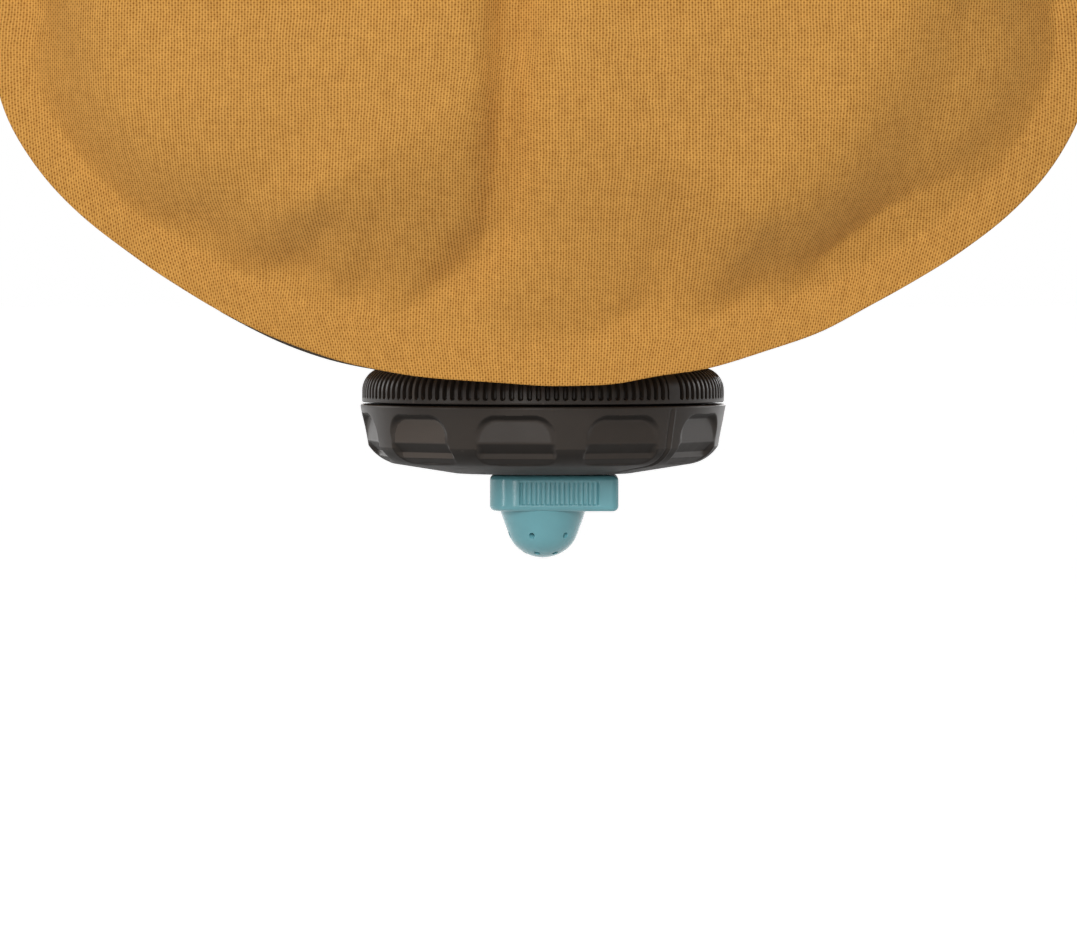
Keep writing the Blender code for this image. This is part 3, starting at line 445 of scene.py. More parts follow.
def joined(parts):
    """Several shapes as one."""
    points, faces, first = [], [], 0
    for part_points, part_faces in parts:
        points.append(part_points)
        faces += [tuple(int(index) + first for index in face) for face in part_faces]
        first += len(part_points)
    return np.concatenate(points), faces


def moved(matrix, points):
    """An array of points, each one moved by the matrix."""
    return np.array([matrix @ Vector(point) for point in points.reshape(-1, 3)]).reshape(points.shape)


def add_mesh(name, shape, finish, cloth=None, sharp=38.0, outward=True):
    """An object of this shape. cloth gives each point's place on the flat cloth."""
    points, faces = shape
    mesh = bpy.data.meshes.new(name)
    mesh.from_pydata(np.asarray(points, float).tolist(), [], [tuple(face) for face in faces])
    if cloth is not None:
        laid = mesh.attributes.new("cloth", "FLOAT_VECTOR", "POINT")
        laid.data.foreach_set("vector", np.asarray(cloth, np.float32).ravel())
    bm = bmesh.new()
    bm.from_mesh(mesh)
    bmesh.ops.remove_doubles(bm, verts=bm.verts, dist=1e-6)
    bmesh.ops.dissolve_degenerate(bm, edges=bm.edges, dist=1e-7)
    if outward:
        bmesh.ops.recalc_face_normals(bm, faces=bm.faces)
    bm.to_mesh(mesh)
    bm.free()
    mesh.shade_smooth()
    mesh.set_sharp_from_angle(angle=math.radians(sharp))
    mesh.materials.append(finish)
    made = bpy.data.objects.new(name, mesh)
    bpy.context.scene.collection.objects.link(made)
    return made


def settle(piece):
    """Applies a piece's modifiers to its mesh."""
    graph = bpy.context.evaluated_depsgraph_get()
    mesh = bpy.data.meshes.new_from_object(piece.evaluated_get(graph))
    piece.modifiers.clear()
    piece.data = mesh
    return piece


def add_sheet(name, shape, near, far, cloth):
    """A sheet whose faces have the near material. Its thickness goes behind them, to the far material."""
    made = add_mesh(name, shape, near, cloth, sharp=60, outward=False)
    made.data.materials.append(CUT_EDGE)
    made.data.materials.append(far)
    solidify = made.modifiers.new("thickness", "SOLIDIFY")
    solidify.thickness = SHEET
    solidify.offset = -1.0
    solidify.material_offset_rim = 1
    solidify.material_offset = 2
    return settle(made)


def merged(target, other):
    """Adds the other object's mesh to the target's, as a separate body in the same piece."""
    bm = bmesh.new()
    bm.from_mesh(target.data)
    bm.from_mesh(other.data)
    bm.to_mesh(target.data)
    bm.free()
    bpy.data.objects.remove(other)
    return target


def boolean(target, cutter, operation="DIFFERENCE"):
    modifier = target.modifiers.new("shape", "BOOLEAN")
    modifier.operation = operation
    modifier.solver = "EXACT"
    modifier.object = cutter
    settle(target)
    bpy.data.objects.remove(cutter)
    return target


def cut_block(target, low, high):
    """Cuts a plain block out of the target."""
    corners = [(x, y, z) for z in (low[2], high[2]) for y in (low[1], high[1]) for x in (low[0], high[0])]
    faces = [(0, 1, 3, 2), (4, 5, 7, 6), (0, 1, 5, 4), (2, 3, 7, 6), (0, 2, 6, 4), (1, 3, 7, 5)]
    return boolean(target, add_mesh("block_cutter", (corners, faces), target.data.materials[0]))


def place_piece(piece, body, slot, *nodes):
    """Fixes a finished piece to its body and hides the CAD nodes it stands for. The slot argument is not used.
    """
    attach(piece, body)
    if nodes:
        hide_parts(*nodes)


# Node materials

class Wire:
    """A node's output. Sums, products and powers of wires and numbers make Math nodes."""

    def __init__(self, socket):
        self.socket = socket
        self.tree = socket.id_data

    def __add__(self, other):
        return maths("ADD", self, other)

    def __sub__(self, other):
        return maths("SUBTRACT", self, other)

    def __rsub__(self, other):
        return maths("SUBTRACT", other, self)

    def __mul__(self, other):
        return maths("MULTIPLY", self, other)

    def __pow__(self, other):
        return maths("POWER", self, other)


def feed(socket, value):
    """Links a wire to a node's input, or sets the input to a plain value."""
    if isinstance(value, Wire):
        value.tree.links.new(value.socket, socket)
    else:
        socket.default_value = (*value, 1.0) if socket.type == "RGBA" else value


def node(kind, inputs, output=0, tree=None, **settings):
    """Adds a node, in the tree that its inputs' wires are in, and returns one of its outputs."""
    tree = tree or next(value.tree for value in inputs.values() if isinstance(value, Wire))
    made = tree.nodes.new(kind)
    for key, value in settings.items():
        setattr(made, key, value)
    for key, value in inputs.items():
        feed(made.inputs[key], value)
    return Wire(made.outputs[output])


def maths(operation, *values):
    return node("ShaderNodeMath", dict(enumerate(values)), operation=operation)


def mixed(factor, first, second, blend="MIX"):
    return node("ShaderNodeMix", {0: factor, 6: first, 7: second}, 2, data_type="RGBA", blend_type=blend)


def noise(vector, scale, detail=3.0, roughness=0.5):
    inputs = {"Vector": vector, "Scale": scale, "Detail": detail, "Roughness": roughness}
    return node("ShaderNodeTexNoise", inputs)


def stretched(vector, scales):
    return node("ShaderNodeVectorMath", {0: vector, 1: scales}, operation="MULTIPLY")


def part(vector, axis):
    return node("ShaderNodeSeparateXYZ", {0: vector}, axis)


def band(value, low, high):
    """A value mapped from low..high to 0..1 and held there."""
    return node("ShaderNodeMapRange", {"Value": value, "From Min": low, "From Max": high})


def bump(shader, height, distance, strength=1.0):
    inputs = {"Distance": distance, "Strength": strength, "Height": height}
    feed(shader["Normal"], node("ShaderNodeBump", inputs))


def shade(colour, factor, added=0.0):
    return tuple(min(1.0, factor * channel + added) for channel in colour)


def new_material(name, colour, roughness, metallic=0.0, specular=0.5):
    """A Principled material, its shader's inputs and the object's coordinates."""
    made = bpy.data.materials.new(name)
    made.use_nodes = True
    made.diffuse_color = (*colour, 1.0)
    shader = made.node_tree.nodes["Principled BSDF"].inputs
    feed(shader["Base Color"], colour)
    feed(shader["Roughness"], roughness)
    feed(shader["Metallic"], metallic)
    feed(shader["Specular IOR Level"], specular)
    return made, shader, node("ShaderNodeTexCoord", {}, "Object", made.node_tree)


def woven(name, dark, light, roughness, pitches=(0.00074, 0.000565), relief=0.00012, sheen=0.0):
    """Plain weave: upright threads, with painted shade in the lines between them and in a hole at every other
    crossing.

    The pitches are across one upright thread and across one level thread.
    """
    made, shader, place = new_material(name, light, roughness, specular=0.25)
    warp, weft = pitches
    feed(shader["Sheen Weight"], sheen)
    flat = node("ShaderNodeAttribute", {}, "Vector", made.node_tree, attribute_name="cloth")
    wander = (noise(flat, 150.0, 2.0) - 0.5) * 0.0008
    beside = maths("COSINE", (part(flat, "X") + wander) * (math.pi / warp))
    between = maths("COSINE", (part(flat, "Y") + wander) * (math.pi / weft))
    hole = maths("MAXIMUM", beside * between, 0.0) ** 1.2
    lines = maths("ABSOLUTE", beside) ** 4.0 * 0.38 + maths("ABSOLUTE", between) ** 4.0 * 0.10
    height = 0.90 - (hole * 0.42 + lines)
    warp_slubs = noise(stretched(flat, (1 / (2 * warp), 170.0, 1.0)), 1.0, 2.0)
    weft_slubs = noise(stretched(flat, (260.0, 1 / (2 * weft), 1.0)), 1.0, 2.0)
    tone = height + (warp_slubs + weft_slubs - 1.0) * 0.34
    # The dark colour is painted shade between the threads and in the holes; the light one is the thread's own
    # colour.
    colour = mixed(band(tone, 0.0, 1.0), dark, light)
    shaded = mixed(1.0, colour, (0.93, 0.93, 0.93), "MULTIPLY")
    feed(shader["Base Color"], mixed(band(noise(place, 28.0, 4.0), 0.3, 0.7), shaded, colour))
    bump(shader, height, relief)
    return made


def moulded(name, colour, roughness, grain=0.00002, specular=0.4, wear_and_highlight=0.3, hollow=0.3, under=0.0):
    """Satin moulded plastic with a fine grain, edges paler from wear and a painted highlight, and painted shade
    in hollows and undersides.
    """
    made, shader, place = new_material(name, colour, roughness, specular=specular)
    edge = node("ShaderNodeNewGeometry", {}, "Pointiness", made.node_tree)
    toned = mixed(band(noise(place, 55.0, 4.0), 0.3, 0.7), shade(colour, 0.88), shade(colour, 1.08))
    # Convex edges are paler: partly wear, partly a painted highlight.
    toned = mixed(band(edge, 0.53, 0.60), toned, shade(colour, 1 + wear_and_highlight))
    # Concave places are darker: painted shade in hollows and creases.
    toned = mixed(band(edge, 0.47, 0.41), toned, shade(colour, 1 - hollow))
    dulled = noise(place, 320.0, 3.0) * 0.12 + (roughness - 0.06)
    # Surfaces that face downward get painted shade, and a rougher finish.
    if under:
        normal = node("ShaderNodeNewGeometry", {}, "Normal", made.node_tree)
        painted_underside_shade = band(part(normal, "Z"), -0.25, -0.70)
        toned = mixed(painted_underside_shade, toned, shade(colour, 1 - under))
        dulled = dulled + painted_underside_shade * 0.35
    feed(shader["Base Color"], toned)
    feed(shader["Roughness"], dulled)
    bump(shader, noise(place, 2600.0, 3.0, 0.6), grain, 0.6)
    return made


def rubbery(name, colour, roughness):
    """Matt elastomer with a dusty, slightly mottled surface."""
    made, shader, place = new_material(name, colour, roughness, specular=0.35)
    dust = band(noise(place, 180.0, 5.0, 0.6), 0.35, 0.75)
    feed(shader["Base Color"], mixed(dust, colour, shade(colour, 1.35, 0.004)))
    bump(shader, noise(place, 2200.0, 3.0, 0.6), 0.00003, 0.6)
    return made


def brushed(name, colour):
    made, shader, place = new_material(name, colour, 0.34, metallic=1.0)
    lines = noise(stretched(place, (120.0, 120.0, 9000.0)), 1.0, 3.0)
    feed(shader["Base Color"], mixed(band(lines, 0.3, 0.7), shade(colour, 0.8), colour))
    bump(shader, lines, 0.000006)
    return made


# In each woven cloth, the first colour is painted shade between the threads and the second is the thread's own
# colour.
MUSTARD = woven("mustard_cloth", (0.215, 0.066, 0.000), (0.745, 0.378, 0.082), 0.78, sheen=0.03)
GUSSET_CLOTH = woven("gusset_cloth", (0.190, 0.060, 0.000), (0.690, 0.350, 0.076), 0.80)
PATCH_CLOTH = woven("patch_cloth", (0.030, 0.028, 0.026), (0.100, 0.094, 0.088), 0.80)
CUT_EDGE = rubbery("cut_edge", (0.150, 0.120, 0.070), 0.8)
COATING = rubbery("inside_coating", (0.040, 0.030, 0.020), 0.55)
WEBBING = woven("webbing", (0.014, 0.014, 0.014), (0.072, 0.072, 0.072), 0.85, (0.0011, 0.0009), 0.00022)
THREAD = woven("stitching", (0.100, 0.094, 0.086), (0.300, 0.285, 0.260), 0.8, (0.0003, 0.0003), 0.00005)
# hollow and under set the painted shade in hollows and on undersides; the paler edges are partly a painted
# highlight.
CHARCOAL = moulded(
    "charcoal_plastic", (0.036, 0.029, 0.024), 0.33, specular=0.14, wear_and_highlight=0.9, hollow=0.7, under=0.65
)
# hollow sets the painted shade in hollows; the paler edges are partly a painted highlight.
TEAL = moulded("teal_plastic", (0.150, 0.390, 0.435), 0.21, grain=0.000008, wear_and_highlight=0.45, hollow=0.35)
SILICONE = rubbery("grey_silicone", (0.280, 0.280, 0.280), 0.5)
GRIP_RUBBER = rubbery("grip_rubber", (0.030, 0.030, 0.030), 0.62)
STEEL = brushed("spring_steel", (0.600, 0.600, 0.600))


# The bag

def half_outline():
    """The right half of the bag's outline from its lowest point up to the middle of the top.

    Each row holds x and z of the edge and of the direction out of the bag there.
    """
    bottom_count, side_count, corner_count, top_count = OUTLINE_COUNTS
    share = 2 / BOTTOM_POWER
    angle = np.linspace(0, math.pi / 2, bottom_count)
    across, down = np.sin(angle), np.maximum(np.cos(angle), 0.0)
    bottom = stacked(HALF_WIDTH * across**share, BAG_BOTTOM + BOTTOM_RISE * (1 - down**share))
    bottom_out = unit(stacked(across ** (2 - share) / HALF_WIDTH, -(down ** (2 - share)) / BOTTOM_RISE))
    side_z = np.linspace(SPINE_LOW, BAG_TOP - TOP_CORNER, side_count)[1:]
    angle = np.linspace(0, math.pi / 2, corner_count)[1:]
    corner_out = stacked(np.cos(angle), np.sin(angle))
    corner = (HALF_WIDTH - TOP_CORNER, BAG_TOP - TOP_CORNER) + TOP_CORNER * corner_out
    top_x = np.linspace(HALF_WIDTH - TOP_CORNER, 0.0, top_count)[1:]
    return np.concatenate([
        np.column_stack([bottom, bottom_out]),
        stacked(HALF_WIDTH, side_z, 1.0, 0.0),
        np.column_stack([corner, corner_out]),
        stacked(top_x, BAG_TOP, 0.0, 1.0),
    ])


HALF_OUTLINE = half_outline()
HALF_RUN = run_along(HALF_OUTLINE[:, :2])
HALF_LENGTH = HALF_RUN[-1]
BOTTOM_COUNT = OUTLINE_COUNTS[0]
MOUTH_RUN = float(np.interp(MOUTH_PANEL_LENGTH / 2, HALF_OUTLINE[:BOTTOM_COUNT, 0], HALF_RUN[:BOTTOM_COUNT]))
SIDE_RUN = float(HALF_RUN[BOTTOM_COUNT + OUTLINE_COUNTS[1] - 2])  # where the top corner starts


def outline_at(run):
    """(edge, out) at these distances round the bag from its lowest point, positive to the right."""
    found = stacked(*(np.interp(np.abs(run), HALF_RUN, column) for column in HALF_OUTLINE.T))
    found[:, ::2] *= np.where(run < 0, -1.0, 1.0)[:, None]
    return found[:, :2], unit(found[:, 2:])


def edge_wave(run):
    """How far the cut edge strays out of its even curve."""
    edge = outline_at(run)[0]
    x, push = np.array(EDGE_PUSHES).T * MM
    slopes = np.gradient(push, x)
    last = np.clip(np.searchsorted(x, edge[:, 0]), 1, len(x) - 1)
    first = last - 1
    width = x[last] - x[first]
    share = np.clip((edge[:, 0] - x[first]) / width, 0, 1)
    bend = share * (1 - share) * width * ((1 - share) * slopes[first] - share * slopes[last])
    curve = push[first] + (push[last] - push[first]) * smooth(0, 1, share) + bend
    return curve * (1 - smooth(*PUSH_FADE, edge[:, 1])) + EDGE_WAVE * ripple(run, 11, 6, 0.017, 0.090)


def flutter(edge):
    """How far the seam stands forward or back at this place, the same for every layer in it."""
    return SEAM_FLUTTER * ripple(edge[:, 0] + 0.7 * edge[:, 1], 5, 4, 0.030, 0.110)


def puckers(seed, low_run, high_run, spacing):
    """Short folds that run in from the seam, about this far apart."""
    draw = np.random.default_rng(seed)
    folds = []
    run = low_run
    while run < high_run:
        edge, out = outline_at(np.array([run]))
        length = draw.uniform(0.018, 0.045)
        start = edge[0] - out[0] * (SEAM_WIDTH + 0.001)
        lean = np.array([-out[0][1], out[0][0]]) * draw.uniform(-0.5, 0.5)
        end = start - (out[0] + lean) * length
        depth = draw.uniform(0.8, 2.0) * draw.choice([1.0, 1.0, -0.6])
        width = draw.uniform(4.0, 8.5)
        folds.append(((depth, 0.2 * depth), width, width, tuple(start / MM), tuple(end / MM)))
        run += spacing * draw.uniform(0.7, 1.4)
    return tuple(folds)


def side_puckers(seed, clear):
    """Puckers up both sides and along the top, clear of the mouth's gusset by this much."""
    low = MOUTH_RUN + clear
    return puckers(seed, low, HALF_LENGTH, 0.030) + puckers(seed + 1, -HALF_LENGTH, -low, 0.030)


def fold_depth(places, folds):
    """How far the folds draw the cloth inwards at these (x, z) places."""
    total = np.zeros(len(places))
    for depths, left_width, right_width, *line in folds:
        line = np.array(line, float) * MM
        starts = run_along(line)
        nearest = np.full(len(places), np.inf)
        share, offset = np.zeros((2, len(places)))
        for index, length in enumerate(np.diff(starts)):
            step = line[index + 1] - line[index]
            along = np.clip((places - line[index]) @ step / length**2, 0, 1)
            away = places - line[index] - along[:, None] * step
            distance = np.linalg.norm(away, axis=1)
            closer = distance < nearest
            nearest = np.where(closer, distance, nearest)
            offset = np.where(closer, away[:, 0], offset)
            share = np.where(closer, (starts[index] + along * length) / starts[-1], share)
        depth = np.interp(share, np.linspace(0, 1, len(depths)), depths)
        width = MM * np.where(offset < 0, left_width, right_width)
        total += MM * depth * np.exp(-((nearest / width) ** 2))
    return total


def panel(name, side, folds, seed):
    """A panel as it hangs full: the flat seam, the dome inside it and the folds in the dome."""
    count = 2 * round(HALF_LENGTH / PANEL_STATION)
    run = np.linspace(-HALF_LENGTH, HALF_LENGTH, count, endpoint=False)
    edge, out = outline_at(run)
    wave = edge_wave(run)
    rows = []
    for share in SEAM_SHARES:
        place = edge + out * (wave * (1 - share) - SEAM_WIDTH * share)[:, None]
        rows.append(stacked(place[:, 0], side * (HALF_DEPTH + flutter(place)), place[:, 1]))
    seam = edge - out * SEAM_WIDTH
    spine = stacked(0.0, np.clip(seam[:, 1], SPINE_LOW, SPINE_HIGH))
    reach = np.linalg.norm(spine - seam, axis=1)
    steep = np.interp(side * seam[:, 0], *STEEP_ACROSS) * (1 - smooth(*STEEP_HEIGHTS, seam[:, 1]))
    low = np.exp(-((seam[:, 0] / LOW_EASE_REACH) ** 2)) * (seam[:, 1] < SPINE_LOW)
    ease = DOME_EASE + (LOW_DOME_EASE - DOME_EASE) * low
    fullness = PANEL_FULLNESS + (LOW_FULLNESS - PANEL_FULLNESS) * low
    for share in np.linspace(0, 1, PANEL_RINGS) ** PANEL_CROWDING:
        place = seam + (spine - seam) * share
        x, z = place.T
        inside = reach * share
        eased = inside / (inside + ease) * (1 + ease / reach)
        round_dome = (1 - (1 - share) ** 2) ** fullness
        steep_dome = np.tanh(inside / STEEP_REACH) / np.tanh(reach / STEEP_REACH)
        dome = PANEL_BULGE * eased * (round_dome + (steep_dome - round_dome) * steep)
        drawn = np.minimum(fold_depth(place, folds) * smooth(*FOLD_START, inside), FOLD_LIMIT * dome)
        swell = ripple(x + 0.4 * z, seed, 4, 0.020, 0.080) + ripple(z - 0.3 * x, seed + 1, 4, 0.024, 0.090)
        uneven = SWELL * swell * smooth(*SWELL_START, inside)
        uneven += flutter(place) * (1 - smooth(*FLUTTER_END, inside))
        rows.append(stacked(x, side * (HALF_DEPTH + dome - drawn + uneven), z))
    points = np.stack(rows)
    steps = np.linalg.norm(np.diff(points[::-1], axis=0), axis=2)
    laid = np.concatenate([np.zeros((1, count)), np.cumsum(steps, axis=0)])[::-1]
    flat = spine[None] + unit(seam - spine)[None] * laid[:, :, None]
    cloth = np.concatenate([flat, np.zeros_like(flat[:, :, :1])], -1)
    return add_sheet(name, sheet(points, wrap_columns=True, flip=side > 0), MUSTARD, COATING, cloth)


def gusset_bulge(share):
    """How far the water pushes a gusset out at this share of its half depth."""
    return GUSSET_BULGE * np.minimum(1.0, (1 - share**2) / (1 - GUSSET_FLAT**2))


def strip(name, low_run, high_run, seed):
    """A gusset between the panels, with its long edges turned out behind their seams."""
    count = max(2, round(abs(high_run - low_run) / GUSSET_STATION))
    laid_run = np.linspace(low_run, high_run, count + 1)
    run = np.where(laid_run > HALF_LENGTH, laid_run - 2 * HALF_LENGTH, laid_run)
    edge, out = outline_at(run)
    wave = edge_wave(run)
    columns = [(-1.0, tip) for tip in FLAP_TIPS]
    columns += [(share, 1.0) for share in np.linspace(-1, 1, GUSSET_COLUMNS + 1)]
    columns += [(1.0, tip) for tip in FLAP_TIPS[::-1]]
    rows, cloth = [], []
    distance = -GUSSET_HALF_DEPTH - SEAM_WIDTH
    for share, tip in columns:
        crease = GUSSET_CREASE * ripple(run + 0.15 * share, seed, 5, 0.016, 0.060) * (1 - share**2)
        place = edge + out * (gusset_bulge(share) - SEAM_WIDTH * tip + crease)[:, None]
        y = GUSSET_HALF_DEPTH * share
        if abs(share) == 1:
            place = place + out * (wave * (1 - tip))[:, None]
            y = y + flutter(place) * share
        rows.append(stacked(place[:, 0], y, place[:, 1]))
        if len(rows) > 1:
            distance += float(np.linalg.norm(rows[-1] - rows[-2], axis=1).mean())
        cloth.append(stacked(distance, laid_run, 0.0))
    return add_sheet(name, sheet(rows), COATING, GUSSET_CLOTH, np.stack(cloth))  # facing into the bag


def mouth_gusset(name):
    """The lowest gusset, drawn down to a flat disc between the knurled ring and the flange."""
    disc_height = PARTING + DISC_TOP
    count = round(2 * MOUTH_RUN / GUSSET_STATION)
    run = np.linspace(-MOUTH_RUN, MOUTH_RUN, count + 1)
    edge, out = outline_at(run)
    seam = edge - out * SEAM_WIDTH
    shares = np.linspace(-1, 1, GUSSET_COLUMNS + 1)[1:-1]

    def web(index, share):
        place = edge[index] + out[index] * (gusset_bulge(share) - SEAM_WIDTH)
        return (place[0], GUSSET_HALF_DEPTH * share, place[1])

    loop = [web(index, -1.0) for index in range(count + 1)] + [web(count, share) for share in shares]
    loop += [web(index, 1.0) for index in range(count, -1, -1)] + [web(0, share) for share in shares[::-1]]
    loop = np.array(loop)
    around = np.arctan2(loop[:, 1], loop[:, 0])
    many, few = MOUTH_PUCKERS
    gather = np.sin(many * around) + 0.6 * np.sin(few * around + 1.3)
    rings = []
    for share in np.linspace(1, 0, MOUTH_RINGS):
        x = DISC_RADIUS * np.cos(around) * (1 - share) + loop[:, 0] * share
        y = DISC_RADIUS * np.sin(around) * (1 - share) + loop[:, 1] * share
        hung = np.interp(x, seam[:, 0], seam[:, 1]) - gusset_bulge(y / GUSSET_HALF_DEPTH)
        z = disc_height + (hung - disc_height) * share**MOUTH_RISE
        rings.append(stacked(x, y, z + MOUTH_PUCKER_DEPTH * gather * share * (1 - share) ** 1.5))
    for radius in (DISC_RADIUS - DISC_STEP, RING_BORE + MOUTH_HOLE_EASE):
        rings.append(polar(radius, around, disc_height))
    parts = [sheet(rings, wrap_columns=True)]  # facing into the bag, as the flaps behind the seams do
    peek, peek_x, peek_reach = PEEK
    for side in (-1, 1):
        rows = []
        for tip in (*FLAP_TIPS, 1.0):
            shown = peek * np.exp(-(((edge[:, 0] - peek_x) / peek_reach) ** 2)) * (1 - tip)
            place = edge + out * (edge_wave(run) * (1 - tip) + shown - SEAM_WIDTH * tip)[:, None]
            y = side * (GUSSET_HALF_DEPTH + flutter(place) * (1 - tip))
            rows.append(stacked(place[:, 0], y, place[:, 1]))
        parts.append(sheet(rows, flip=side > 0))
    points, faces = joined(parts)
    hangs = np.abs(points[:, 1]) > GUSSET_HALF_DEPTH - 0.0002
    cloth = stacked(points[:, 0], np.where(hangs, points[:, 2], points[:, 1]), 0.0)
    return add_sheet(name, (points, faces), COATING, GUSSET_CLOTH, cloth)


# The closure

def ribs(base, crest, low, angle, first_angle=0.0):
    """Parts for the thread's helical ribs, one a start, each with tapered ends."""
    share = np.linspace(0, 1, round(angle / THREAD_STEP) + 1)
    height = PARTING + low + THREAD_LEAD * angle * share / math.tau
    grown = np.minimum(1.0, np.minimum(share, 1 - share) * angle / THREAD_TAPER + 0.05)
    tip = base + (crest - base) * grown
    foot, top = THREAD_BASE / 2, THREAD_CREST / 2
    parts = []
    for start in range(THREAD_STARTS):
        around = first_angle + math.tau * start / THREAD_STARTS + angle * share
        corners = ((base, -foot), (tip, -top), (tip, top), (base, foot))
        parts.append(tube(np.stack([polar(radius, around, height + offset) for radius, offset in corners], 1)))
    return parts


def mouth_flange():
    """The flange inside the bag and the threaded neck that passes out through the cloth."""
    lip = NECK_WALL / 4
    top = FLANGE_BOTTOM + FLANGE
    section = (
        (NECK_BORE, -NECK_DROP, lip),
        (NECK_BORE, top, lip),
        (FLANGE_RADIUS, top, lip),
        (FLANGE_RADIUS, FLANGE_BOTTOM + FLANGE_BEVEL * 0.4, lip / 4),
        (FLANGE_RADIUS - FLANGE_BEVEL, FLANGE_BOTTOM, lip / 2),
        (CREST_RADIUS, FLANGE_BOTTOM, 0),
        (CREST_RADIUS, RIM_GAP, lip / 2),
        (NECK_RADIUS, RIM_GAP - THREAD_HEIGHT, lip / 2),
        (NECK_RADIUS, -NECK_DROP, lip),
    )
    threads = ribs(NECK_RADIUS - NECK_WALL / 4, CREST_RADIUS, THREAD_LOW, THREAD_ANGLE)
    return add_mesh("threaded_mouth", joined([lathe(rounded(section, 4))] + threads), CHARCOAL)


def flat_ring(name, inner, outer, low, height, finish=SILICONE, edge=SEAL_EDGE, steps=192):
    """A flat ring with softened edges."""
    high = low + height
    section = ((inner, low, edge), (inner, high, edge), (outer, high, edge), (outer, low, edge))
    return add_mesh(name, lathe(rounded(section, 3), steps), finish)


def knurled_ring():
    """The clamping ring, with upright slots that run up over its shoulder, and one plain land."""
    steps = SLOT_COUNT * RING_COLUMNS_A_SLOT
    angles = from_front(math.tau * (np.arange(steps) + 0.5) / steps)
    rise = np.linspace(0, math.pi / 2, 14)
    turned = stacked(np.cos(rise), np.sin(rise))
    wall = np.linspace(RIM_GAP + 0.0005, RING_TOP - RING_SHOULDER, 16)
    outer = np.concatenate([
        [(RING_RADIUS - RING_ROUND, RIM_GAP), (RING_RADIUS, RIM_GAP + RING_ROUND)],
        stacked(RING_RADIUS, wall[:-1]),
        (RING_RADIUS - RING_SHOULDER, RING_TOP - RING_SHOULDER) + RING_SHOULDER * turned,
    ])
    profile = np.concatenate([outer, [(RING_BORE, RING_TOP), (RING_BORE, RIM_GAP)]])
    # The slots are cut square to the surface, so they tip over with the shoulder.
    normal = np.tile((1.0, 0.0), (len(profile), 1))
    normal[len(outer) - len(turned):len(outer)] = turned
    pitch = math.tau / SLOT_COUNT
    across = (((angles - from_front(0.0)) / pitch) % 1 - 0.5) * pitch * RING_RADIUS
    below = np.maximum(RIM_GAP + SLOT_START + SLOT_WIDTH / 2 - profile[:, 1], 0.0)
    reach = np.hypot(across[:, None], below[None, :]) / (SLOT_WIDTH / 2)
    depth = SLOT_DEPTH * np.clip(1 - reach**4, 0, 1) ** 0.6
    depth[:, len(outer):] = 0.0
    depth[np.abs(apart(angles, from_front(LAND_ANGLE))) < 0.75 * pitch] = 0.0
    radius, height = (profile[None] - depth[:, :, None] * normal[None]).transpose(2, 0, 1)
    return add_mesh("slotted_ring", hoop(polar(radius, angles[:, None], height + PARTING)), CHARCOAL, sharp=50)


def skirt_path():
    """(radius, height, outward radius, outward height) down the cap's outside, closely spaced."""
    first, last = CORNER_SLOPES
    centre = SKIRT_RADIUS - CORNER_RADIUS * math.cos(first)
    level = -SKIRT_HEIGHT + CORNER_RADIUS * math.sin(first)
    slant = math.atan2(CAP_RADIUS - SKIRT_RADIUS, SKIRT_HEIGHT - RIM_ROUND)
    radius, height = np.linspace((CAP_RADIUS, -RIM_ROUND), (SKIRT_RADIUS, -SKIRT_HEIGHT), 38).T
    slope = np.linspace(first, last, 47)[1:]
    out, down = np.cos(slope), np.sin(slope)
    return np.concatenate([
        stacked(radius, height, math.cos(slant), -math.sin(slant)),
        stacked(centre + CORNER_RADIUS * out, level - CORNER_RADIUS * down, out, -down),
    ])


def scallop_distance(across, height):
    """How far a place on the skirt lies outside the scallop's rounded outline, negative inside it."""
    middle = -SCALLOP_TOP - SCALLOP_HEIGHT / 2
    corner = np.where(height > middle, *SCALLOP_ROUNDS)
    x = np.abs(across) - SCALLOP_WIDTH / 2 + corner
    y = np.abs(height - middle) - SCALLOP_HEIGHT / 2 + corner
    return np.hypot(np.maximum(x, 0), np.maximum(y, 0)) + np.minimum(np.maximum(x, y), 0) - corner


def scallop_depth(skirt, turned_by):
    """How far each place on the skirt lies in towards the axis, because of the scallop it is in."""
    radius, height = skirt[None, :, 0], skirt[None, :, 1]
    section = np.array(rounded(SCALLOP_FLOOR, 6, closed=False))[::-1]
    floor = np.interp(height, section[:, 1], section[:, 0]) / np.cos(turned_by)[:, None]
    inward = -scallop_distance(radius * np.sin(turned_by)[:, None], height)
    upper, lower = SCALLOP_WALLS
    width = upper + (lower - upper) * smooth(-0.0105, -0.0135, height)
    return np.maximum(radius - floor, 0.0) * (1 - (1 - np.clip(inward / width, 0, 1)) ** 2)


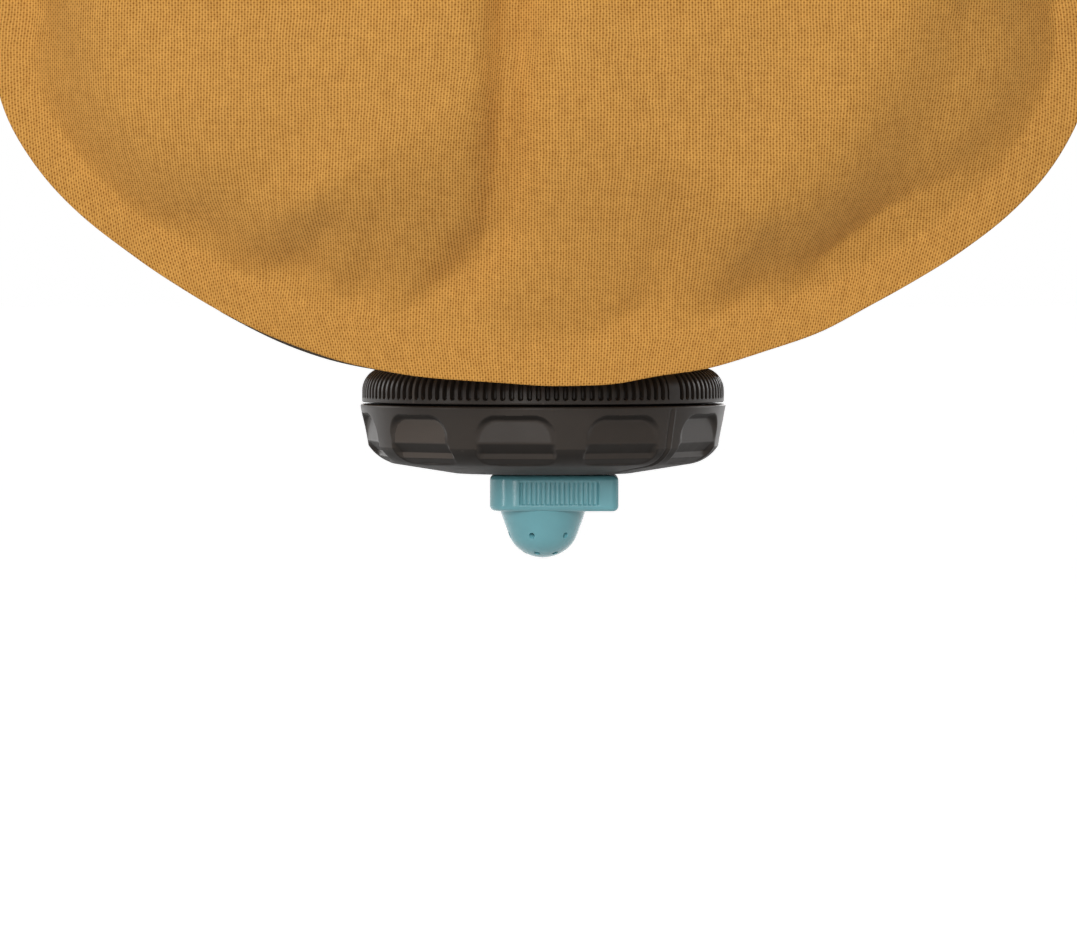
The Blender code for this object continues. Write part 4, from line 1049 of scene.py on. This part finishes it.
def cap_shell():
    """The screw cap: skirt with finger scallops, rounded corner, underside, inner wall, floor and socket."""
    skirt = skirt_path()
    floor_radius = NECK_RADIUS + 2 * GAP
    inner_corner = CAP_WALL_RADIUS - floor_radius
    socket_outer = SOCKET_BORE + SOCKET_WALL
    socket = (
        (SOCKET_BORE, -CAP_DEPTH, SOCKET_EDGE),
        (SOCKET_BORE, SOCKET_TOP, SOCKET_EDGE),
        (socket_outer, SOCKET_TOP, 1.5 * SOCKET_EDGE),
        (socket_outer, CAP_FLOOR, 0),
        (floor_radius, CAP_FLOOR, 0),
    )
    rim = (
        (CAP_WALL_RADIUS, CAP_FLOOR + inner_corner, 0),
        (CAP_WALL_RADIUS, 0.0, RIM_ROUND),
        (CAP_RADIUS, 0.0, RIM_ROUND),
        (CAP_RADIUS, -SKIRT_HEIGHT, 0),
    )
    inside = rounded(socket, 4, closed=False) + rounded(rim, 5, closed=False)[:-1]
    face = stacked((FACE_RADIUS, (FACE_RADIUS + SOCKET_BORE) / 2, SOCKET_BORE + SOCKET_EDGE), -CAP_DEPTH)
    profile = np.concatenate([inside, skirt[:, :2], face])
    angles = from_front(math.tau * np.arange(CAP_COLUMNS) / CAP_COLUMNS)
    radius, height = np.broadcast_to(profile.T[:, None], (2, CAP_COLUMNS, len(profile))).copy()
    outer = slice(len(inside), len(inside) + len(skirt))
    pitch = math.tau / SCALLOP_COUNT
    turned_by = (angles - from_front(SCALLOP_TURN) + pitch / 2) % pitch - pitch / 2
    # A thin raised line runs down the cap, with a shallow groove on its left.
    aside = apart(angles, from_front(LAND_ANGLE))[:, None] * skirt[None, :, 0]
    depth, distance, width = LINE_GROOVE
    line = LINE_HEIGHT * np.exp(-((aside / LINE_WIDTH) ** 4))
    line -= depth * np.exp(-(((aside + distance) / width) ** 2))
    line *= smooth(0.0, 0.0008, -skirt[None, :, 1] - RIM_ROUND)
    radius[:, outer] += line * skirt[None, :, 2] - scallop_depth(skirt, turned_by)
    height[:, outer] += line * skirt[None, :, 3]
    shape = hoop(polar(radius, angles[:, None], height + PARTING))
    made = cut_windows(add_mesh("scalloped_cap", shape, CHARCOAL, sharp=55), socket_outer + WINDOW_SPARE)
    lug_low = THREAD_LOW + THREAD_BASE + GAP + THREAD_LEAD * LUG_ANGLE / math.tau
    lugs = ribs(CAP_WALL_RADIUS + NECK_WALL / 4, NECK_RADIUS + THREAD_GAP, lug_low, LUG_ANGLE, LUG_ANGLE)
    return merged(made, add_mesh("cap_lugs", joined(lugs), CHARCOAL))


def cut_windows(target, reach):
    half, low = WINDOW_WIDTH / 2, PARTING + WINDOW_LOW
    return cut_block(target, (-reach, -half, low), (reach, half, low + WINDOW_HEIGHT))


def bar_outline():
    """Points round the bar and their outward directions, with close points along the flutes."""
    half = BAR_DEPTH / 2
    first = FLUTE_MIDDLE - FLUTE_PITCH * FLUTE_COUNT / 2
    fluted = first + FLUTE_PITCH * np.arange(FLUTE_COUNT * FLUTE_STEPS + 1) / FLUTE_STEPS
    ends = ((-BAR_SHORT_END, BAR_SHORT_ROUND), (BAR_LONG_END, BAR_LONG_ROUND))
    path = rounded([(ends[x > 0][0], y * half, ends[x > 0][1]) for x, y in SQUARE], 28)
    size = len(path) // 4
    left = np.linspace(path[size - 1][0], fluted[0], 12)[1:-1]
    right = np.linspace(fluted[-1], path[size][0], 12)[1:-1]
    face = [*left, *fluted, *right]
    points = path[:size] + [(x, -half) for x in face] + path[size:3 * size]
    points = np.array(points + [(x, half) for x in face[::-1]] + path[3 * size:])
    along = np.roll(points, -1, axis=0) - np.roll(points, 1, axis=0)
    return points, unit(stacked(along[:, 1], -along[:, 0]))


def bar():
    """The lever bar: rounded edges and a band of upright flutes on its front and back faces."""
    points, out = bar_outline()
    angle = np.linspace(math.pi / 2, 0, 9)
    drop, inset = BAR_EDGE * (1 - np.sin(angle)), BAR_EDGE * (1 - np.cos(angle))
    wall = np.linspace(BAR_TOP - BAR_EDGE, BAR_BOTTOM + BAR_EDGE, 46)[1:-1]
    heights = np.concatenate([BAR_TOP - drop, wall, (BAR_BOTTOM + drop)[::-1]])
    insets = np.concatenate([inset, np.zeros_like(wall), inset[::-1]])
    place = (points[:, 0] - FLUTE_MIDDLE) / FLUTE_PITCH + FLUTE_COUNT / 2
    within = (np.abs(points[:, 1]) > 0.999 * BAR_DEPTH / 2) & (place > -0.01) & (place < FLUTE_COUNT + 0.01)
    # A narrow round rib stands in the middle of each pitch, with a flat groove on either side of it.
    hollow = (1 - np.exp(-(((place % 1 - 0.5) / FLUTE_RIB) ** 2))) * within
    hollow *= np.clip(np.minimum(place, FLUTE_COUNT - place) / 0.25, 0, 1)
    rows = []
    for height, drawn_in in zip(heights, insets):
        ends = smooth(FLUTE_LENGTH / 2, FLUTE_LENGTH / 2 - 0.0006, abs(height - BAR_MIDDLE))
        shrunk = points - out * (drawn_in + FLUTE_DEPTH * hollow * ends)[:, None]
        rows.append(stacked(*shrunk.T, PARTING + height))
    return add_mesh("nozzle_bar", tube(rows), TEAL)


def dome_profile():
    """The spray head below the bar, from its upper edge down to the axis."""
    drop = DOME_DEPTH - DOME_SHOULDER
    radius = (DOME_SHOULDER_RADIUS**2 + drop**2) / (2 * drop)
    angle = np.linspace(math.asin(DOME_SHOULDER_RADIUS / radius), 0, 22)
    cone = np.linspace((DOME_RADIUS, BAR_BOTTOM), (DOME_SHOULDER_RADIUS, BAR_BOTTOM - DOME_SHOULDER), 14)[:-1]
    end = stacked(radius * np.sin(angle), BAR_BOTTOM - DOME_DEPTH + radius * (1 - np.cos(angle)))
    # The corner between the cone and the rounded end is eased by averaging neighbours.
    eased = np.concatenate([cone, end])
    for turn in range(6):
        eased[1:-1] = (eased[:-2] + 2 * eased[1:-1] + eased[2:]) / 4
    return eased.tolist()


def groove(middle, height):
    """The stem's outline down across a groove."""
    high, low = middle + height / 2, middle - height / 2
    return [(STEM_RADIUS, high), (GROOVE_RADIUS, high), (GROOVE_RADIUS, low), (STEM_RADIUS, low)]


def jets():
    """Cutters for the jets: two rings that slope out and down through the dome, and one straight down."""
    places = [Matrix.Translation((0.0, 0.0, BAR_BOTTOM - 1.5 * DOME_DEPTH))]
    for drop, slope, radius in JET_RINGS:
        for index in range(JET_COUNT):
            around = Matrix.Rotation(from_front(JET_TURN + math.tau * index / JET_COUNT), 4, "Z")
            start = Matrix.Translation((radius, 0.0, BAR_BOTTOM - drop + JET_DIAMETER))
            places.append(around @ start @ Matrix.Rotation(math.pi / 2 + slope, 4, "Y"))
    angles = math.tau * np.arange(24) / 24
    cutter = np.stack([polar(JET_DIAMETER / 2, angles, height) for height in (0.0, DOME_DEPTH)])
    parts = [tube(moved(matrix, cutter) + (0.0, 0.0, PARTING)) for matrix in places]
    return add_mesh("jet_cutter", joined(parts), TEAL)


def spray_nozzle():
    """The lever bar, the spray head with its jets and the hollow stem."""
    slot = 2 * (ORING_RADIUS + SEAL_GAP)
    profile = [(0.0, STEM_TOP), (STEM_RADIUS - STEM_EDGE, STEM_TOP), (STEM_RADIUS, STEM_TOP - STEM_EDGE)]
    profile += groove(SOCKET_TOP + GAP + CLIP / 2, CLIP + 2 * SEAL_GAP)
    profile += groove(UPPER_ORING, slot) + groove(LOWER_ORING, slot)
    profile += [(STEM_RADIUS, BAR_MIDDLE), (DOME_RADIUS, BAR_MIDDLE)] + dome_profile()
    made = boolean(bar(), add_mesh("nozzle_core", lathe(profile, 96), TEAL), "UNION")
    waterway = (
        (0.0, SOCKET_TOP - STEM_ROOF),
        (STEM_BORE, SOCKET_TOP - STEM_ROOF),
        (STEM_BORE, BAR_BOTTOM + CHAMBER_RADIUS - STEM_BORE),
        (CHAMBER_RADIUS, BAR_BOTTOM),
        (CHAMBER_RADIUS, CHAMBER_LOW + (DOME_DEPTH - DOME_SHOULDER) / 2),
        (CHAMBER_RADIUS / 2, CHAMBER_LOW),
        (0.0, CHAMBER_LOW),
    )
    boolean(made, add_mesh("waterway_cutter", lathe(waterway, 96), TEAL))
    cut_windows(made, STEM_RADIUS + GAP)
    boolean(made, jets())
    made.name = "spray_head"
    made.data.shade_smooth()
    made.data.set_sharp_from_angle(angle=math.radians(38))
    return made


def oring(name, height):
    angles = math.tau * np.arange(20) / 20
    middle = (GROOVE_RADIUS + SEAL_GAP + ORING_RADIUS, height)
    section = middle + ORING_RADIUS * stacked(np.cos(angles), np.sin(angles))
    return add_mesh(name, lathe(section, 96), SILICONE)


def stem_clip():
    """The open spring clip on the stem, with rounded edges."""
    low, half = SOCKET_TOP + GAP, CLIP_MOUTH / 2
    clip = flat_ring("spring_clip", GROOVE_RADIUS + SEAL_GAP, CLIP_RADIUS, low, CLIP, STEEL, CLIP / 4, 128)
    low += PARTING
    return cut_block(clip, (-half, 0.0, low - CLIP), (half, 2 * CLIP_RADIUS, low + 2 * CLIP))


# Handle, lash straps and patches

def strap_path(span, crest, standoff):
    """The strap's middle line in its own XZ plane: a foot, a raised run and another foot."""
    half = [(crest / 2, standoff, STRAP_BEND), (span / 2, 0.0, STRAP_BEND), (span / 2 + FOOT_LENGTH, 0.0, 0.0)]
    corners = [(-x, z, bend) for x, z, bend in half[::-1]] + half
    return spread(rounded(corners, 14, closed=False), 0.0014)


def webbing(name, path, width, matrix):
    """Webbing along a path, with rounded selvedges."""
    across, up = spread(rounded_box(width, STRAP, 0.42 * STRAP, 4), 0.0009, closed=True).T
    rows, cloth = [], []
    for (x, z), (ahead_x, ahead_z), distance in zip(path, unit(np.gradient(path, axis=0)), run_along(path)):
        rows.append(stacked(x - ahead_z * up, across, z + ahead_x * up))
        cloth.append(stacked(across, distance, 0.0))
    return add_mesh(name, tube(moved(matrix, np.stack(rows))), WEBBING, cloth, sharp=50)


def stitch_rows(low, high, width):
    """The lines of a box stitch with a cross in it, on the foot between these two x."""
    left, right, half = low + STITCH_INSET, high - STITCH_INSET, width / 2 - STITCH_INSET
    box = [(left, -half), (right, -half), (right, half), (left, half), (left, -half)]
    return [box[index:index + 2] for index in range(4)] + [[box[0], box[2]], [box[3], box[1]]]


def stitches(name, feet, width, matrix):
    """Box stitching over each foot, as separate threads that dip into the webbing at their ends."""
    around = math.tau * np.arange(8) / 8
    parts = []
    for start, end in [line for foot in feet for line in stitch_rows(*foot, width)]:
        start, end = np.array(start), np.array(end)
        length = np.linalg.norm(end - start)
        count = max(1, round(length / (STITCH + STITCH_SPACE)))
        along = (end - start) / length
        beside = np.array([-along[1], along[0]])
        for index in range(count):
            middle = start + along * length * (index + 0.5) / count
            rows = []
            for share in np.linspace(0, 1, 7):
                bow = math.sin(math.pi * share)
                swell = STITCH_THREAD * (0.55 + 0.45 * bow)
                height = STRAP / 2 + STITCH_THREAD * (1.2 * bow - 0.6) + swell * np.sin(around)
                x, y = middle + along * STITCH * (share - 0.5)
                offset = swell * np.cos(around)
                rows.append(stacked(x + beside[0] * offset, y + beside[1] * offset, height))
            parts.append(tube(moved(matrix, np.stack(rows))))
    shape = joined(parts)
    return add_mesh(name, shape, THREAD, shape[0])


def patch(name, width, matrix):
    """A flat reinforcement with a softened edge and a pressed weld line just inside it."""
    length, across = FOOT_LENGTH + 2 * PATCH_MARGIN, width + 2 * PATCH_MARGIN
    rows = []
    for inset, height in PATCH_LEVELS:
        outline = rounded_box(length - 2 * inset, across - 2 * inset, PATCH_CORNER - inset, 12)
        rows.append([(x, y, height * PATCH) for x, y in outline])
    flat = np.array(rows)
    return add_mesh(name, tube(moved(matrix, flat)), PATCH_CLOTH, flat, sharp=30)


def handle_grip():
    """The moulded grip: flat underneath, with finger ribs over its top and softened ends."""
    half_width, half_height = HANDLE_WIDTH / 2 + GAP + GRIP_WALL, GRIP_HEIGHT / 2
    y, z = spread(rounded_box(2 * half_width, GRIP_HEIGHT, GRIP_EDGE, 8), 0.0008, closed=True).T
    upper = smooth(-0.30 * GRIP_HEIGHT, 0.30 * GRIP_HEIGHT, z)
    rows = []
    for place in np.linspace(-GRIP_LENGTH / 2, GRIP_LENGTH / 2, 156):
        end = GRIP_LENGTH / 2 - abs(place)
        shrink = GRIP_END_ROUND * (1 - math.sqrt(max(0.0, 1 - (1 - min(end / GRIP_END_ROUND, 1.0)) ** 2)))
        rib = GRIP_RIB * (0.5 - 0.5 * math.cos(math.tau * place / GRIP_RIB_PITCH)) * smooth(0.004, 0.006, end)
        inset = shrink + rib * upper
        level = np.where(z > 0, z * (1 - inset / half_height), np.maximum(z, 0.4 * shrink - half_height))
        rows.append(stacked(place, y * (1 - inset / half_width), half_height + level))
    return add_mesh("ribbed_grip", tube(rows), GRIP_RUBBER)


def sewn_strap(prefix, suffix, node_name, pads, span, crest, standoff, width, lift):
    """A strap with its stitching and the (name, node) patches under its feet, from its lower x up."""
    near, far = span / 2, span / 2 + FOOT_LENGTH
    made = webbing(f"{prefix}_webbing{suffix}", strap_path(span, crest, standoff), width, lift)
    place_piece(made, "bag", "webbing", node_name)
    made = stitches(f"{prefix}_stitching{suffix}", ((-far, -near), (near, far)), width, lift)
    place_piece(made, "bag", "webbing")
    for end, (pad_name, pad_node) in zip((-1, 1), pads):
        under = Matrix.Translation((end * (near + far) / 2, 0.0, -(PATCH + GAP + STRAP / 2)))
        place_piece(patch(pad_name, width, lift @ under), "bag", "patch_cloth", pad_node)


# Assembly

def build_bag():
    back_folds = puckers(21, -MOUTH_RUN - 0.10, MOUTH_RUN + 0.10, 0.026) + side_puckers(41, 0.12)
    for made, node_name in (
        (panel("front_cloth", -1, FRONT_FOLDS + side_puckers(31, 0.15), 3), "front_panel"),
        (panel("back_cloth", 1, back_folds, 8), "back_panel"),
        (mouth_gusset("mouth_cloth"), "mouth_gusset"),
        (strip("side_cloth_left", -SIDE_RUN, -MOUTH_RUN, 50), "left_gusset"),
        (strip("side_cloth_right", MOUTH_RUN, SIDE_RUN, 52), "right_gusset"),
        (strip("base_cloth", SIDE_RUN, 2 * HALF_LENGTH - SIDE_RUN, 61), "base_gusset"),
    ):
        place_piece(made, "bag", "bag_cloth", node_name)


def build_closure():
    seal_radius = FLANGE_RADIUS - FLANGE_BEVEL - GAP
    flange_seal = flat_ring("flange_seal", RING_BORE, seal_radius, DISC_TOP + GAP, FLANGE_GASKET)
    cap_bore = NECK_BORE - NECK_WALL / 3
    cap_seal = flat_ring("cap_seal_ring", cap_bore, NECK_RADIUS + GAP, CAP_FLOOR + GAP, CAP_GASKET)
    for made, body, slot, node_name in (
        (mouth_flange(), "bag", "charcoal_plastic", "mouth_flange"),
        (flange_seal, "bag", "silicone", "flange_gasket"),
        (knurled_ring(), "bag", "charcoal_plastic", "knurled_ring"),
        (cap_seal, "cap_seal", "silicone", "cap_gasket"),
        (cap_shell(), "cap", "charcoal_plastic", "cap_shell"),
        (spray_nozzle(), "nozzle", "teal_plastic", "spray_nozzle"),
        (oring("stem_seal_upper", UPPER_ORING), "nozzle", "silicone", "upper_oring"),
        (oring("stem_seal_lower", LOWER_ORING), "nozzle", "silicone", "lower_oring"),
        (stem_clip(), "nozzle", "spring_steel", "stem_clip"),
    ):
        place_piece(made, body, slot, node_name)


def build_straps():
    sewn_on = GUSSET_BULGE + CLOTH + GAP + PATCH + GAP + STRAP / 2 - SEAM_WIDTH  # out from the bag's edge
    foot_height = BAG_TOP + sewn_on
    pads = [(f"handle_pad_{name}", f"handle_patch_{name}") for name in ("left", "right")]
    rise = GRIP_HEIGHT / 2 - foot_height
    lift = Matrix.Translation((0.0, 0.0, foot_height))
    sewn_strap("handle", "", "handle_strap", pads, HANDLE_SPAN, HANDLE_CREST, rise, HANDLE_WIDTH, lift)
    place_piece(handle_grip(), "bag", "grip_rubber", "handle_grip")
    span = LASH_LENGTH - 2 * FOOT_LENGTH
    crest = span - 2 * LASH_STANDOFF
    for side, name in ((-1, "left"), (1, "right")):
        upright = Matrix.Rotation(side * math.pi / 2, 4, "Y")
        lift = Matrix.Translation((side * (HALF_WIDTH + sewn_on), 0.0, BAG_BOTTOM + LASH_CENTRE)) @ upright
        # The left strap's own +X points up, and the right one's points down.
        ends = ("lower", "upper")[::-side]
        pads = [(f"lash_pad_{name}_{end}", f"side_patch_{name}_{end}") for end in ends]
        sewn_strap("lash", f"_{name}", f"side_strap_{name}", pads, span, crest, LASH_STANDOFF, LASH_WIDTH, lift)


def build_camera():
    data = bpy.data.cameras.new("camera")
    data.lens = CAMERA_LENS
    data.sensor_width = 36.0
    camera = bpy.data.objects.new("camera", data)
    camera.location = CAMERA_PLACE
    camera.rotation_euler = (math.pi / 2 + CAMERA_TILT, 0.0, 0.0)
    bpy.context.scene.collection.objects.link(camera)
    bpy.context.scene.camera = camera


def seen_plainly(tree):
    """1 for rays from the camera, off glossy surfaces and through glass, and 0 for the rest."""
    camera, glossy, glass = (
        node("ShaderNodeLightPath", {}, f"Is {kind} Ray", tree) for kind in ("Camera", "Glossy", "Transmission")
    )
    return maths("MAXIMUM", maths("MAXIMUM", camera, glossy), glass)


def build_world():
    world = bpy.data.worlds.new("studio")
    bpy.context.scene.world = world
    world.use_nodes = True
    background = world.node_tree.nodes["Background"].inputs
    feed(background["Color"], (1.0, 1.0, 1.0))
    feed(background["Strength"], seen_plainly(world.node_tree) * (1 - WORLD_LIGHT) + WORLD_LIGHT)


def build_lights():
    for name, around, above, distance, width, height, watts in LIGHTS:
        around, above = math.radians(around), math.radians(above)
        flat = math.cos(above) * distance
        away = (flat * math.sin(around), -flat * math.cos(around), distance * math.sin(above))
        place = LIGHT_AIM + Vector(away)
        data = bpy.data.lights.new(name, "AREA")
        data.shape = "RECTANGLE"
        data.size = width
        data.size_y = height
        data.energy = watts
        lamp = bpy.data.objects.new(name, data)
        lamp.location = place
        lamp.rotation_euler = (LIGHT_AIM - place).to_track_quat("-Z", "Y").to_euler()
        lamp.visible_camera = False
        bpy.context.scene.collection.objects.link(lamp)


def build_floor():
    made, shader, place = new_material("pale_floor", (0.60, 0.60, 0.60), 0.9, specular=0.1)
    feed(shader["Emission Color"], (1.0, 1.0, 1.0))
    feed(shader["Emission Strength"], seen_plainly(made.node_tree) * FLOOR_GLOW)
    corners = [(x * FLOOR_REACH, y * FLOOR_REACH, FLOOR_HEIGHT) for x, y in SQUARE]
    floor = add_mesh("floor", (corners, [(0, 1, 2, 3)]), made, outward=False)


bpy.context.scene.view_settings.view_transform = "Standard"
build_camera()
build_world()
build_lights()
build_floor()
build_bag()
build_closure()
build_straps()
